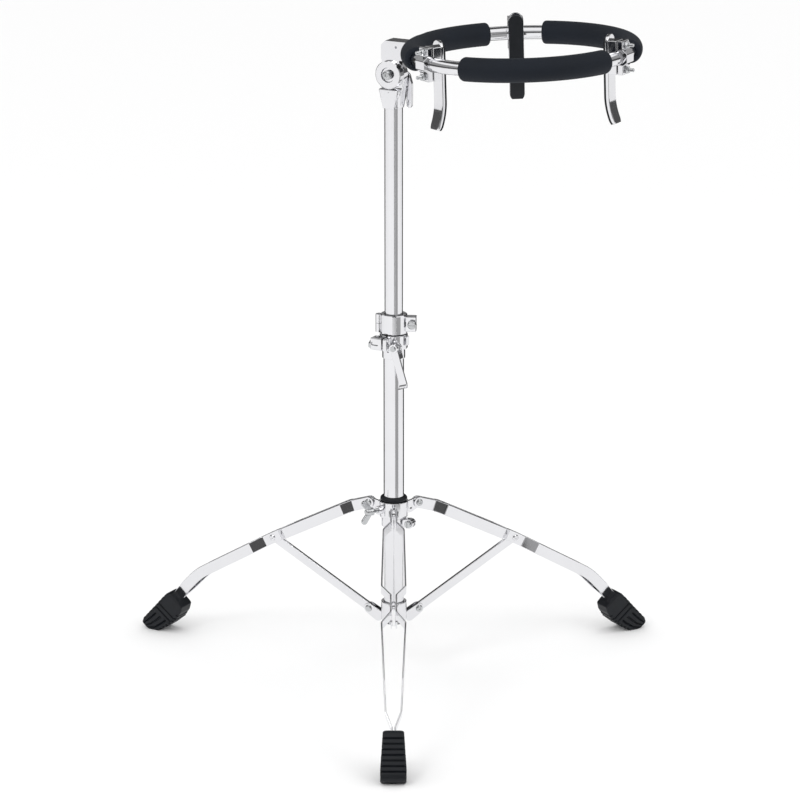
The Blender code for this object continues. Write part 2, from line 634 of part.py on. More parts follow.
# ---- upper tube and tilter ----------------------------------------------------------------------
def build_upper(root):
    """Make the telescopic tube and the fixed half of the tilter on its top."""
    frame = empty("upper_frame", root, turn_z=COLUMN_SWIVEL)
    build_tube("upper_tube", UPPER_TUBE_R, UPPER_TUBE_BORE, UPPER_TUBE_BOTTOM, UPPER_TUBE_TOP, frame)
    low, cone_top = 0.8245, 0.8500
    base = turned("tilter_base", [
        (0, cone_top), (0.0142, cone_top), (0.0155, cone_top - 0.003), (0.0146, low + 0.002),
        (0.0142, low), (0, low)], frame, "chrome", steps=28)
    neck = plate("tilter_neck", [
        (-0.0138, low + 0.004), (0.0138, low + 0.004), (0.0180, 0.8640), (0.0180, TILT_Z),
        (-0.0180, TILT_Z), (-0.0180, 0.8640)], 0.0116, frame)
    disc = cylinder("tilter_disc", DISC_R, (0, -0.0058, TILT_Z), (0, 0.0058, TILT_Z), frame, segments=24)
    for piece in (neck, disc):
        boolean(base, piece, "UNION")
    boolean(base, cylinder(
        "tilter_socket", UPPER_TUBE_R + GAP, (0, 0, low - 0.01), (0, 0, UPPER_TUBE_TOP + GAP), frame,
        segments=24))
    boolean(base, cylinder("tilter_base_hole", 0.0043, (0, -0.02, TILT_Z), (0, 0.02, TILT_Z), frame))
    build_tilter_bolt(frame)
    return frame


def build_tilter_bolt(frame):
    """Make the tilter's bolt, with a cap head in front, and the wing lever on its rear end."""
    axis = empty("tilter_bolt_axis", frame, location=(0, 0, TILT_Z))
    turned("tilter_bolt", [
        (0, 0.0215), (0.0052, 0.0210), (0.0064, 0.0196), (0.0066, 0.0178), (0.0040, 0.0178),
        (0.0040, -0.0240), (0.0034, -0.0248), (0, -0.0248)],
        axis, "steel", steps=16, matrix=Matrix.Rotation(math.radians(90), 4, "X"))
    hub = turned("tilter_wing", [
        (0, -0.0062), (0.0072, -0.0062), (0.0080, -0.0072), (0.0080, -0.0160), (0.0066, -0.0195),
        (0, -0.0195)],
        axis, "chrome", steps=20, matrix=Matrix.Rotation(math.radians(90), 4, "X"))
    arm = plate("wing_arm", [
        (-0.0060, 0.0045), (0.0110, 0.0050), (0.0195, -0.0010), (0.0235, -0.0140), (0.0230, -0.0460),
        (0.0190, -0.0490), (0.0150, -0.0460), (0.0140, -0.0180), (0.0080, -0.0080), (-0.0040, -0.0060)],
        0.0046, axis, centre=0.0110)
    boolean(hub, arm, "UNION")
    boolean(hub, cylinder("wing_clear", 0.0043, (0, -0.01, 0), (0, 0.03, 0), axis))


# ---- ring ---------------------------------------------------------------------------------------
def build_ring(upper):
    """Make the tilting ring: bracket, rod, foam sleeves and three clamp arms."""
    hinge = empty("ring_hinge", upper, location=(0, 0, TILT_Z))
    ring = empty("ring_frame", upper, location=(RING_CENTRE, 0, RING_Z), turn_y=-RING_TILT)
    build_bracket(hinge, ring)
    bm = bmesh.new()
    circle = bmesh.ops.create_circle(
        bm, segments=12, radius=ROD_R,
        matrix=Matrix.Translation((RING_R, 0, 0)) @ Matrix.Rotation(math.radians(90), 4, "X"))
    edges = {edge for vert in circle["verts"] for edge in vert.link_edges}
    bmesh.ops.spin(bm, geom=circle["verts"] + list(edges), axis=(0, 0, 1), cent=(0, 0, 0), steps=48,
                   angle=math.tau, use_merge=True)
    bmesh.ops.remove_doubles(bm, verts=bm.verts[:], dist=1e-6)
    mesh_object("ring_rod", finish_mesh("ring_rod", bm), ring, "chrome")
    for name, (azimuth, span) in FOAM_SLEEVES.items():
        build_foam(name + "_foam_sleeve", ring, azimuth, span)
    for name, azimuth in HOOK_AZIMUTHS.items():
        build_clamp_arm(name, ring, azimuth)


def rod_stretch(name, ring, azimuth, span, radius):
    """Make a solid stretch of the rod's path, of a given radius, for cutting channels."""
    frame = empty(name + "_turn", ring, turn_z=azimuth)
    return mesh_object(name, arc_mesh(name, radius, None, span, 8), frame)


def arc_mesh(name, outer, inner, span, steps):
    """Sweep a round section, hollow where inner is given, along the ring's circle about azimuth 0."""
    bm = bmesh.new()
    start = Matrix.Rotation(math.radians(-span / 2), 4, "Z") @ Matrix.Translation((RING_R, 0, 0))
    start = start @ Matrix.Rotation(math.radians(90), 4, "X")
    circles = [bmesh.ops.create_circle(
        bm, segments=12, radius=radius, cap_ends=inner is None, matrix=start)
        for radius in (outer, inner) if radius]
    if inner:
        edges = {edge for circle in circles for vert in circle["verts"] for edge in vert.link_edges}
        bmesh.ops.bridge_loops(bm, edges=list(edges))
    bmesh.ops.spin(bm, geom=bm.faces[:], axis=(0, 0, 1), cent=(0, 0, 0), steps=steps,
                   angle=math.radians(span))
    bmesh.ops.remove_doubles(bm, verts=bm.verts[:], dist=1e-6)
    return finish_mesh(name, bm)


def build_foam(name, ring, azimuth, span):
    """Make one foam sleeve on the rod; the sleeve at the bracket is notched for it."""
    frame = empty(name + "_turn", ring, turn_z=azimuth)
    sleeve = mesh_object(name, arc_mesh(name, FOAM_R, ROD_CLEAR_R, span, 12), frame, "foam")
    if name.startswith("bracket"):
        low = RING_R + 0.0022
        boolean(sleeve, box(name + "_notch", (low, -0.0125, -0.05), (0.20, 0.0125, 0.05), frame))


def build_bracket(hinge, ring):
    """Make the moving half of the tilter: a disc in front and a block over the fixed disc."""
    block_low, block_high = 0.8918 - TILT_Z, 0.9175 - TILT_Z
    rod_x = RING_CENTRE - RING_R
    bracket = plate("ring_bracket", [
        (-0.0130, block_low), (rod_x - 0.002, block_low), (rod_x - 0.002, block_high),
        (-0.0070, block_high), (-0.0130, block_high - 0.0060)], 0.0240, hinge, "chrome")
    disc = turned("bracket_disc", [
        (0, 0.0145), (0.0095, 0.0145), (0.0105, 0.0170), (DISC_R - 0.001, 0.0170), (DISC_R, 0.0160),
        (DISC_R, 0.0062), (0, 0.0062)], hinge, steps=24,
        matrix=Matrix.Rotation(math.radians(90), 4, "X"))
    neck = plate("bracket_neck", [
        (-0.0120, 0.0080), (0.0120, 0.0080), (0.0120, block_low + 0.002), (-0.0120, block_low + 0.002)],
        0.0055, hinge, centre=-0.0092)
    for piece in (disc, neck):
        boolean(bracket, piece, "UNION")
    boolean(bracket, cylinder("bracket_hole", 0.0043, (0, -0.03, 0), (0, 0.03, 0), hinge))
    boolean(bracket, rod_stretch("bracket_channel", ring, 180, 40, ROD_CLEAR_R))
    boolean(bracket, cylinder(
        "bracket_pin_hole", 0.0018, (0.0100, -0.02, 0.0380), (0.0100, -0.006, 0.0380), hinge, segments=12))


# ---- clamp arms ---------------------------------------------------------------------------------
def arm_path(offset, top, last):
    """Give the arm's side view, at an offset from its outer face: straight down, then flared outwards."""
    bend, flare, steps = -0.050, 0.0085, 6
    path = [(HOOK_BAR_OUTER_R - offset, top - drop) for drop in (0.0003, 0.0016, 0.0045, 0.0100)]
    path.append((HOOK_BAR_OUTER_R - offset, bend))
    for step in range(1, steps + 1):
        share = last * step / steps
        drop = (bend - HOOK_BOTTOM) * share
        lean = math.atan2(2 * flare * share, bend - HOOK_BOTTOM)
        outer_face = HOOK_BAR_OUTER_R + flare * share * share
        path.append((outer_face - offset * math.cos(lean), bend - drop - offset * math.sin(lean)))
    return path


def arm_strip(name, frame, finish, offset, thickness, width, top, last):
    """Make the bar or the pad: a ribbon down the arm's path, round at its top, made solid."""
    path = arm_path(offset, top, last)
    bm = bmesh.new()
    bmesh.ops.create_grid(bm, x_segments=len(path) - 1, y_segments=1, size=1)
    for vert in bm.verts:
        radius, height = path[round((vert.co.x + 1) / 2 * (len(path) - 1))]
        from_end = min(width / 2, top - height, height - path[-1][1] + 0.0060)
        reach = math.sqrt((width / 2) ** 2 - (width / 2 - from_end) ** 2)
        vert.co = (radius, math.copysign(reach, vert.co.y), height)
    mesh = bpy.data.meshes.new(name)
    bm.to_mesh(mesh)
    bm.free()
    strip = mesh_object(name, mesh, frame, finish)
    solid = strip.modifiers.new("bar", "SOLIDIFY")
    solid.thickness = thickness
    solid.offset = 0
    solid.use_even_offset = True
    return strip


def build_clamp_arm(name, ring, azimuth):
    """Make one clamp arm: bar with its inner jaw, rubber pad, outer jaw and two clamp bolts."""
    frame = empty(name + "_arm_frame", ring, turn_z=azimuth)
    half = HOOK_WIDTH / 2
    bar = arm_strip(
        name + "_arm_bar", frame, "chrome", HOOK_BAR / 2, HOOK_BAR, HOOK_WIDTH, HOOK_TOP, 1.0)
    arm_strip(
        name + "_arm_pad", frame, "rubber", HOOK_BAR + GAP + HOOK_PAD / 2, HOOK_PAD, HOOK_WIDTH - 0.001,
        HOOK_TOP - 0.003, 0.98)
    jaw_high, jaw_face = 0.0225, RING_R + 0.0080
    boolean(bar, box(
        name + "_inner_jaw", (HOOK_BAR_OUTER_R - 0.001, -half, -jaw_high),
        (RING_R - 0.0008, half, jaw_high), frame), "UNION")
    boolean(bar, rod_stretch(name + "_inner_channel", ring, azimuth, 16, ROD_CLEAR_R))
    outer = plate(
        name + "_arm_jaw", [
            (RING_R + 0.0008, -jaw_high), (jaw_face, -jaw_high), (jaw_face, -0.0112),
            (RING_R + 0.0145, -0.0060), (RING_R + 0.0145, 0.0060), (jaw_face, 0.0112),
            (jaw_face, jaw_high), (RING_R + 0.0008, jaw_high)],
        HOOK_WIDTH, frame, "chrome")
    boolean(outer, rod_stretch(name + "_outer_channel", ring, azimuth, 16, ROD_CLEAR_R))
    for level, height in (("upper", CLAMP_BOLT_Z), ("lower", -CLAMP_BOLT_Z)):
        hole = cylinder(
            f"{name}_{level}_hole", 0.0028, (RING_R - 0.0110, 0, height), (0.170, 0, height), frame,
            segments=12)
        boolean(bar, hole)
        boolean(outer, hole)
        axis = empty(f"{name}_{level}_bolt_axis", frame, location=(0, 0, height))
        bolt = cylinder(
            f"{name}_arm_{level}_bolt", 0.0025, (RING_R - 0.0106, 0, 0), (0.1650, 0, 0), axis, "steel",
            segments=12)
        boolean(bolt, cylinder(
            f"{name}_{level}_nut", 0.0050, (jaw_face + GAP, 0, 0), (jaw_face + 0.0045, 0, 0), axis,
            segments=6), "UNION")


def build_stand():
    """Build every piece of the stand, from the floor up."""
    root = empty("stand_root", location=(0, COLUMN_Y, 0))
    build_column(root)
    collar = build_collar(root)
    for name, azimuth in LEG_AZIMUTHS.items():
        build_leg(name, azimuth, collar)
        build_brace(name, azimuth, root)
    build_height_clamp(root)
    build_memory_lock(root)
    build_ring(build_upper(root))
    bpy.context.view_layer.update()


build_stand()
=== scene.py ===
"""Looks of a folding hand-drum ring stand: bright chrome, black foam sleeves and moulded rubber shoes.

Metres, +Z up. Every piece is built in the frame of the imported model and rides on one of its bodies.
"""
import json
import math

import bmesh
import bpy
from mathutils import Matrix, Vector


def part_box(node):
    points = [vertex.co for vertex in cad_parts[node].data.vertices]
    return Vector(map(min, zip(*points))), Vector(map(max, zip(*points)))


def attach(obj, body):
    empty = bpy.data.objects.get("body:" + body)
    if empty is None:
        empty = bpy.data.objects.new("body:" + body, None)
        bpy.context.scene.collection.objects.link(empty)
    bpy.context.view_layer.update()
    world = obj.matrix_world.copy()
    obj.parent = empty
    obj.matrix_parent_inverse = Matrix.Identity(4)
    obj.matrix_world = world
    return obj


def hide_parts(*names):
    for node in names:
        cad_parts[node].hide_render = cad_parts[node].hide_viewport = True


bl_info = {
    "name": "Hand Drum Ring Stand",
    "version": (1, 0, 0),
    "blender": (4, 5, 0),
    "location": "View3D > Sidebar > Drum Stand",
    "description": "Builds the pieces of a folding hand-drum ring stand",
    "category": "Add Mesh",
}

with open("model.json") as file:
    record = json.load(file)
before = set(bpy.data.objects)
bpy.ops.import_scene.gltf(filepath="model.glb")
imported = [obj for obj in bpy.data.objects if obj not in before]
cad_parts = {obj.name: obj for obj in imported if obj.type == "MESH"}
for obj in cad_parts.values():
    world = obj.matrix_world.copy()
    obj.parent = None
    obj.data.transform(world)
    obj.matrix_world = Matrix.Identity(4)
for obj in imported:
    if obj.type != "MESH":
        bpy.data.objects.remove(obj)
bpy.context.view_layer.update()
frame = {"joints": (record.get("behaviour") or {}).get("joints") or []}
JOINTS = {joint["name"]: joint for joint in frame["joints"]}

# ---- places, from the frame and from the stand's own dimensions ----
COLUMN = Matrix.Translation((0, JOINTS["column_swivel"]["pos_m"][1], 0))
LEG_AZIMUTHS = {"front": -90.0, "right": 30.0, "left": 150.0}
ARM_AZIMUTHS = {"rear": 120.0, "front": 240.0, "far": 0.0}
FOAM_SLEEVES = {            # direction of each sleeve's middle, and the angle it covers
    "bracket": (180.0, 90.0), "front": (305.0, 80.0), "far": (60.0, 90.0)}
COLUMN_SWIVEL = -28.5
RING_TILT = 2.1
RING_CENTRE = 0.1942
RING_Z = JOINTS["far_arm_shift"]["pos_m"][2]
TILT_Z = JOINTS["ring_tilt"]["pos_m"][2]
COLLAR_PIVOT_Z = JOINTS["front_leg_fold"]["pos_m"][2]
BRACE_PIVOT_Z = JOINTS["front_brace_fold"]["pos_m"][2]
PIVOT_R = 0.039
MID_PIVOT = (0.1989, 0.1735)

LINK_THICKNESS = 0.0044
STRIP_HEIGHT = 0.016
STRIP_THICKNESS = 0.0024
STRIP_PINCH = 0.0038
STRIP_BULGE = 0.0163
STRIP_KNOTS = (             # distance from the axis, half the spacing of a leg's two strips there
    (0.0640, STRIP_PINCH), (0.0775, 0.0141), (0.1720, STRIP_BULGE), (0.1865, STRIP_PINCH),
    (0.2125, STRIP_PINCH), (0.2285, STRIP_BULGE), (0.3220, 0.0122), (0.3470, 0.0105), (0.3630, 0.0021))
RING_R = 0.1455
ROD_R = 0.0095
DISC_R = 0.0195
ARM_WIDTH = 0.021
ARM_BAR = 0.005
ARM_PAD = 0.0025
ARM_OUTER_R = 0.133
CLAMP_BOLT_Z = 0.0165
GAP = 0.0003
LOWER_TUBE_BORE, UPPER_TUBE_BORE = 0.0131, 0.0113
PIN_HOLE_R, BOLT_HOLE_R, EYE_HOLE_R, TILT_HOLE_R = 0.0033, 0.0028, 0.0023, 0.0043
CLAMP_AZIMUTH, LOCK_AZIMUTH, PINCH_AZIMUTH, WING_AZIMUTH = -120, -6, -30, -150
CLAMP_EYE_R, CLAMP_EYE_Z = 0.0250, 0.4915
PINCH_R, WING_BOLT_Z = 0.0265, 0.25
FINE = 80                   # sides of the larger turned shapes

SHOE_OUTLINE = (
    (0.3725, 0.0615), (0.3565, 0.0480), (0.3520, 0.0420), (0.3545, 0.0330), (0.3630, 0.0200),
    (0.3780, 0.0080), (0.3920, 0.0000), (0.4110, 0.0000), (0.4210, 0.0080),
    (0.4180, 0.0160), (0.3990, 0.0370), (0.3860, 0.0520), (0.3790, 0.0590))


def turn(degrees, axis="Z"):
    """Give the matrix of a turn about one axis."""
    return Matrix.Rotation(math.radians(degrees), 4, axis)


UPPER = COLUMN @ turn(COLUMN_SWIVEL)
RING = UPPER @ Matrix.Translation((RING_CENTRE, 0, RING_Z)) @ turn(-RING_TILT, "Y")
TILTER = UPPER @ Matrix.Translation((0, 0, TILT_Z))
ACROSS = turn(90, "X")      # puts a turned shape's axis along -Y


# ---- settings ----
class StandSizes(bpy.types.PropertyGroup):
    """Sizes that change the finish of the pieces."""
    foam_radius: bpy.props.FloatProperty(
        name="Foam Radius", description="Outer radius of the foam sleeves", default=0.016,
        min=0.012, max=0.018, unit="LENGTH")
    foam_end: bpy.props.FloatProperty(
        name="Foam End Rounding", description="Length over which a sleeve's end rounds off",
        default=0.005, min=0.001, max=0.010, unit="LENGTH")
    thread_pitch: bpy.props.FloatProperty(
        name="Thread Pitch", description="Distance between two turns of a screw thread",
        default=0.0008, min=0.0004, max=0.0015, unit="LENGTH")
    shoe_groove: bpy.props.FloatProperty(
        name="Shoe Groove", description="Depth of the grooves in the rubber shoes", default=0.0022,
        min=0.0, max=0.003, unit="LENGTH")


class StandColours(bpy.types.PropertyGroup):
    """Colours of the stand's finishes and of its floor."""
    chrome: bpy.props.FloatVectorProperty(
        name="Chrome", description="Colour of the chrome plate", default=(0.77, 0.77, 0.79),
        size=3, min=0, max=1, subtype="COLOR")
    steel: bpy.props.FloatVectorProperty(
        name="Steel", description="Colour of the fasteners", default=(0.55, 0.56, 0.57),
        size=3, min=0, max=1, subtype="COLOR")
    foam: bpy.props.FloatVectorProperty(
        name="Foam", description="Colour of the foam sleeves", default=(0.0060, 0.0085, 0.0135),
        size=3, min=0, max=1, subtype="COLOR")
    rubber: bpy.props.FloatVectorProperty(
        name="Rubber", description="Colour of the moulded rubber", default=(0.0050, 0.0062, 0.0085),
        size=3, min=0, max=1, subtype="COLOR")
    floor: bpy.props.FloatVectorProperty(
        name="Floor", description="Colour of the floor", default=(0.92, 0.92, 0.92),
        size=3, min=0, max=1, subtype="COLOR")


# ---- shader expressions ----
class Value:
    """A number socket that adds its own Math nodes when it is used in Python arithmetic."""

    def __init__(self, shader, socket):
        self.shader = shader
        self.socket = socket

    def _math(self, operation, first, second):
        node = self.shader.node("ShaderNodeMath", {"operation": operation}, {0: first, 1: second})
        return Value(self.shader, node.outputs[0])

    def __add__(self, other):
        return self._math("ADD", self, other)

    def __mul__(self, other):
        return self._math("MULTIPLY", self, other)

    def __rsub__(self, other):
        return self._math("SUBTRACT", other, self)

    def __pow__(self, other):
        return self._math("POWER", self, other)

    __radd__ = __add__
    __rmul__ = __mul__


class Shader:
    """A Principled material under construction."""

    def __init__(self, name):
        self.material = bpy.data.materials.new(name)
        self.material.use_nodes = True
        self.tree = self.material.node_tree
        self.surface = self.tree.nodes["Principled BSDF"]
        coordinates = self.tree.nodes.new("ShaderNodeTexCoord")
        self.position = coordinates.outputs["Object"]

    def node(self, kind, settings=None, sockets=None):
        """Add a node: its settings first, then the values and links of its sockets."""
        node = self.tree.nodes.new(kind)
        for key, value in (settings or {}).items():
            setattr(node, key, value)
        for key, value in (sockets or {}).items():
            self.feed(node.inputs[key], value)
        return node

    def feed(self, socket, value):
        """Link a value to a socket, or set it there."""
        if isinstance(value, Value):
            value = value.socket
        if isinstance(value, bpy.types.NodeSocket):
            self.tree.links.new(value, socket)
        else:
            socket.default_value = value

    def noise(self, scale, detail=3.0):
        """Give smooth noise from 0 to 1."""
        node = self.node("ShaderNodeTexNoise", None, {
            "Vector": self.position, "Scale": scale, "Detail": detail})
        return Value(self, node.outputs["Fac"])

    def cells(self, scale):
        """Give the distance to the nearest of many scattered points."""
        node = self.node("ShaderNodeTexVoronoi", None, {"Vector": self.position, "Scale": scale})
        return Value(self, node.outputs["Distance"])

    def mix(self, share, low, high):
        """Blend two colours."""
        node = self.node("ShaderNodeMix", {"data_type": "RGBA"}, {
            "Factor": share, 6: (*low, 1.0), 7: (*high, 1.0)})
        return node.outputs[2]

    def bump(self, height, strength, distance):
        """Raise the surface by a height."""
        node = self.node("ShaderNodeBump", None, {
            "Height": height, "Strength": strength, "Distance": distance})
        self.feed(self.surface.inputs["Normal"], node.outputs["Normal"])

    def set(self, **values):
        """Set or link the surface's own sockets."""
        for name, value in values.items():
            self.feed(self.surface.inputs[name.replace("_", " ")], value)


def shade(colour, factor):
    """Give a lighter or darker version of a colour."""
    return tuple(min(1.0, channel * factor) for channel in colour)


def chrome_finish(colours):
    """Make bright chrome plate with faint polishing haze."""
    shader = Shader("chrome_plate")
    haze = shader.noise(26.0)
    grain = shader.noise(850.0, 2.0)
    shader.set(
        Base_Color=shader.mix(haze, shade(colours.chrome, 0.96), shade(colours.chrome, 1.04)),
        Metallic=1.0, Roughness=0.045 + haze * 0.05 + grain * 0.02)
    shader.bump(grain, 0.04, 0.00004)
    return shader.material


def steel_finish(colours):
    """Make zinc-bright steel with a fine turned grain."""
    shader = Shader("bright_steel")
    cloud = shader.noise(140.0)
    grain = shader.noise(2200.0, 2.0)
    shader.set(
        Base_Color=shader.mix(cloud, shade(colours.steel, 0.88), shade(colours.steel, 1.10)),
        Metallic=1.0, Roughness=0.16 + cloud * 0.10 + grain * 0.06)
    shader.bump(grain, 0.10, 0.00004)
    return shader.material


def foam_finish(colours):
    """Make closed-cell foam: small cell hollows darkened with painted shade, a dry skin and a slight blue
    bloom.
    """
    shader = Shader("foam_skin")
    cloud = shader.noise(22.0, 4.0)
    pit_depth_and_shade = shader.cells(1300.0)
    # the colour darkens in the cell hollows, which is painted shade, and the cloud adds a random tone
    shader.set(
        Base_Color=shader.mix(
            cloud * 0.7 + pit_depth_and_shade * 0.3, shade(colours.foam, 0.75), shade(colours.foam, 1.8)),
        Roughness=0.62 + cloud * 0.16, Specular_IOR_Level=0.22, Sheen_Weight=0.02)
    shader.bump(pit_depth_and_shade ** 0.7 + cloud * 0.4, 0.35, 0.00018)
    return shader.material


def rubber_finish(colours):
    """Make moulded rubber with a satin skin and dull patches."""
    shader = Shader("moulded_rubber")
    cloud = shader.noise(70.0, 4.0)
    grain = shader.noise(1600.0, 3.0)
    shader.set(
        Base_Color=shader.mix(cloud, shade(colours.rubber, 0.7), shade(colours.rubber, 1.9)),
        Roughness=0.36 + cloud * 0.18 + grain * 0.06, Specular_IOR_Level=0.30)
    shader.bump(grain, 0.25, 0.00010)
    return shader.material


def nylon_finish(colours):
    """Make black nylon with a fine mould texture."""
    shader = Shader("black_nylon")
    grain = shader.noise(1200.0, 2.0)
    shader.set(
        Base_Color=shader.mix(grain, shade(colours.rubber, 1.4), shade(colours.rubber, 2.4)),
        Roughness=0.34 + (1 - grain) * 0.14)
    shader.bump(grain, 0.15, 0.00005)
    return shader.material


FINISH_MAKERS = {
    "chrome": chrome_finish, "steel": steel_finish, "foam": foam_finish, "rubber": rubber_finish,
    "nylon": nylon_finish}
FINISHES = {}


def finish(name):
    """Give the material of one slot, which is made when it is first used."""
    if name not in FINISHES:
        FINISHES[name] = FINISH_MAKERS[name](bpy.context.scene.stand_colours)
    return FINISHES[name]


# ---- shapes ----
def shape(bm, matrix=None):
    """Turn a bmesh into an object, with its faces pointing out."""
    bmesh.ops.recalc_face_normals(bm, faces=bm.faces)
    if matrix:
        bmesh.ops.transform(bm, matrix=matrix, verts=bm.verts[:])
    mesh = bpy.data.meshes.new("shape")
    bm.to_mesh(mesh)
    bm.free()
    obj = bpy.data.objects.new("shape", mesh)
    bpy.context.scene.collection.objects.link(obj)
    return obj


def along(start, end):
    """Give the matrix that puts a shape's own Z axis on the line from start to end, from start."""
    start, end = Vector(start), Vector(end)
    return Matrix.Translation(start) @ Vector((0, 0, 1)).rotation_difference(
        end - start).to_matrix().to_4x4()


def soften(points, radius, steps=3):
    """Round the corners of a closed outline, and leave those on the axis sharp."""
    outline = []
    for before, corner, after in zip(points[-1:] + points[:-1], points, points[1:] + points[:1]):
        before, corner, after = Vector(before), Vector(corner), Vector(after)
        back, ahead = before - corner, after - corner
        reach = min(radius, back.length * 0.45, ahead.length * 0.45)
        if corner.x < 1e-6 or reach < 1e-6:
            outline.append(tuple(corner))
            continue
        enter, leave = corner + back.normalized() * reach, corner + ahead.normalized() * reach
        for step in range(steps + 1):
            t = step / steps
            outline.append(tuple((1 - t) ** 2 * enter + 2 * t * (1 - t) * corner + t ** 2 * leave))
    return outline


def turned(profile, matrix=None, steps=64, edge=0.0004):
    """Turn a closed profile of (radius, height) points about Z, with its corners rounded."""
    outline = soften(list(profile), edge) if edge else list(profile)
    bm = bmesh.new()
    points = [bm.verts.new((radius, 0, height)) for radius, height in outline]
    for first, second in zip(points, points[1:] + points[:1]):
        if first.co.x > 1e-6 or second.co.x > 1e-6:
            bm.edges.new((first, second))
    bmesh.ops.spin(
        bm, geom=bm.verts[:] + bm.edges[:], axis=(0, 0, 1), cent=(0, 0, 0), steps=steps,
        angle=math.tau, use_merge=True)
    bmesh.ops.remove_doubles(bm, verts=bm.verts[:], dist=1e-6)
    return shape(bm, matrix)


def bar(radius, start, end, edge=0.0004, steps=32):
    """Make a round bar between two points."""
    length = (Vector(end) - Vector(start)).length
    return turned([(0, 0), (radius, 0), (radius, length), (0, length)], along(start, end), steps, edge)


def thread(radius, start, end, steps=24):
    """Make a screw thread as a stack of sharp ridges."""
    pitch = bpy.context.scene.stand_sizes.thread_pitch
    length = (Vector(end) - Vector(start)).length
    profile = [(0, 0)]
    for ridge in range(int(length / pitch)):
        profile += [(radius * 0.86, ridge * pitch), (radius, (ridge + 0.5) * pitch)]
    profile += [(radius * 0.80, length), (0, length)]
    return turned(profile, along(start, end), steps, edge=0)


def nut(radius, start, end):
    """Make a hexagon nut with softened edges."""
    length = (Vector(end) - Vector(start)).length
    bm = bmesh.new()
    bmesh.ops.create_cone(
        bm, cap_ends=True, segments=6, radius1=radius, radius2=radius, depth=length,
        matrix=Matrix.Translation((0, 0, length / 2)))
    bmesh.ops.bevel(bm, geom=bm.edges[:], offset=radius * 0.09, segments=3, profile=0.5, affect="EDGES")
    return shape(bm, along(start, end))


def box(low, high, edge=0.0008):
    """Make a box with rounded edges from its lowest to its highest corner."""
    low, high = Vector(low), Vector(high)
    bm = bmesh.new()
    size = Matrix.Diagonal((*(high - low), 1))
    bmesh.ops.create_cube(bm, size=1.0, matrix=Matrix.Translation((low + high) / 2) @ size)
    if edge:
        bmesh.ops.bevel(bm, geom=bm.edges[:], offset=edge, segments=3, profile=0.5, affect="EDGES")
    return shape(bm)


def plate(outline, thickness, centre=0.0, edge=0.0006, corner=0.0):
    """Make a flat plate in the XZ plane, centred on the given Y, with its rims rounded."""
    points = list(outline)
    if corner:
        shift = 1.0             # keeps the whole outline off the axis, where soften rounds nothing
        moved = soften([(x + shift, z) for x, z in points], corner, 4)
        points = [(x - shift, z) for x, z in moved]
    bm = bmesh.new()
    face = bm.faces.new([bm.verts.new((x, centre - thickness / 2, z)) for x, z in points])
    extruded = bmesh.ops.extrude_face_region(bm, geom=[face])["geom"]
    bmesh.ops.translate(
        bm, vec=(0, thickness, 0), verts=[v for v in extruded if isinstance(v, bmesh.types.BMVert)])
    bmesh.ops.recalc_face_normals(bm, faces=bm.faces)
    if edge:
        rim = [e for e in bm.edges if abs(e.verts[0].co.y - e.verts[1].co.y) < thickness / 2]
        bmesh.ops.bevel(
            bm, geom=rim, offset=edge, segments=3, profile=0.5, affect="EDGES", clamp_overlap=True)
    return shape(bm)


def capsule(start, end, start_r, end_r, steps=12):
    """Give the outline of a bar with round ends about two points of the XZ plane."""
    angle = math.atan2(end[1] - start[1], end[0] - start[0])
    outline = []
    for centre, radius, first in ((end, end_r, -math.pi / 2), (start, start_r, math.pi / 2)):
        for step in range(steps + 1):
            around = angle + first + math.pi * step / steps
            outline.append((centre[0] + radius * math.cos(around), centre[1] + radius * math.sin(around)))
    return outline


def pill(half_width, half_thickness, corner, steps=3, fill=(0, 0)):
    """Give the points round a flat bar's section; fill adds points along its faces and its edges."""
    corner = max(1e-6, min(corner, half_width * 0.99, half_thickness * 0.99))
    corners = []
    for quarter, (side, face) in enumerate(((1, 1), (-1, 1), (-1, -1), (1, -1))):
        centre = Vector((side * (half_width - corner), face * (half_thickness - corner)))
        turns = [math.pi / 2 * (quarter + step / steps) for step in range(steps + 1)]
        corners.append([centre + corner * Vector((math.cos(t), math.sin(t))) for t in turns])
    points = []
    for quarter, arc in enumerate(corners):
        after, count = corners[(quarter + 1) % 4][0], fill[quarter % 2]
        points += arc + [arc[-1].lerp(after, k / (count + 1)) for k in range(1, count + 1)]
    return points


def loft(rings, closed=False, matrix=None):
    """Join rings of equally many points into a skin, with capped ends unless it closes on itself."""
    bm = bmesh.new()
    rows = [[bm.verts.new(point) for point in ring] for ring in rings]
    pairs = list(zip(rows, rows[1:] + rows[:1] if closed else rows[1:]))
    for first, second in pairs:
        for index in range(len(first)):
            after = (index + 1) % len(first)
            bm.faces.new((first[index], first[after], second[after], second[index]))
    if not closed:
        bm.faces.new(rows[0])
        bm.faces.new(rows[-1])
    return shape(bm, matrix)


def is_solid(mesh):
    """Tell whether a mesh is closed, with its faces pointing out."""
    bm = bmesh.new()
    bm.from_mesh(mesh)
    solid = all(edge.is_manifold for edge in bm.edges) and bm.calc_volume(signed=True) > 0
    bm.free()
    return solid


def carve(base, joins=(), cuts=()):
    """Join shapes to a base and cut others from it, and give the one shape that is left."""
    for tools, operation in ((joins, "UNION"), (cuts, "DIFFERENCE")):
        for tool in tools:
            modifier = base.modifiers.new(operation, "BOOLEAN")
            modifier.operation = operation
            modifier.solver = "EXACT"
            modifier.object = tool
    for careful in (False, True):
        for modifier in base.modifiers:
            modifier.use_self = careful
        evaluated = base.evaluated_get(bpy.context.evaluated_depsgraph_get())
        mesh = bpy.data.meshes.new_from_object(evaluated)
        if is_solid(mesh):
            break
    else:
        raise RuntimeError("a Boolean left an open shape")
    for used in (base, *joins, *cuts):
        bpy.data.objects.remove(used, do_unlink=True)
    result = bpy.data.objects.new("shape", mesh)
    bpy.context.scene.collection.objects.link(result)
    return result


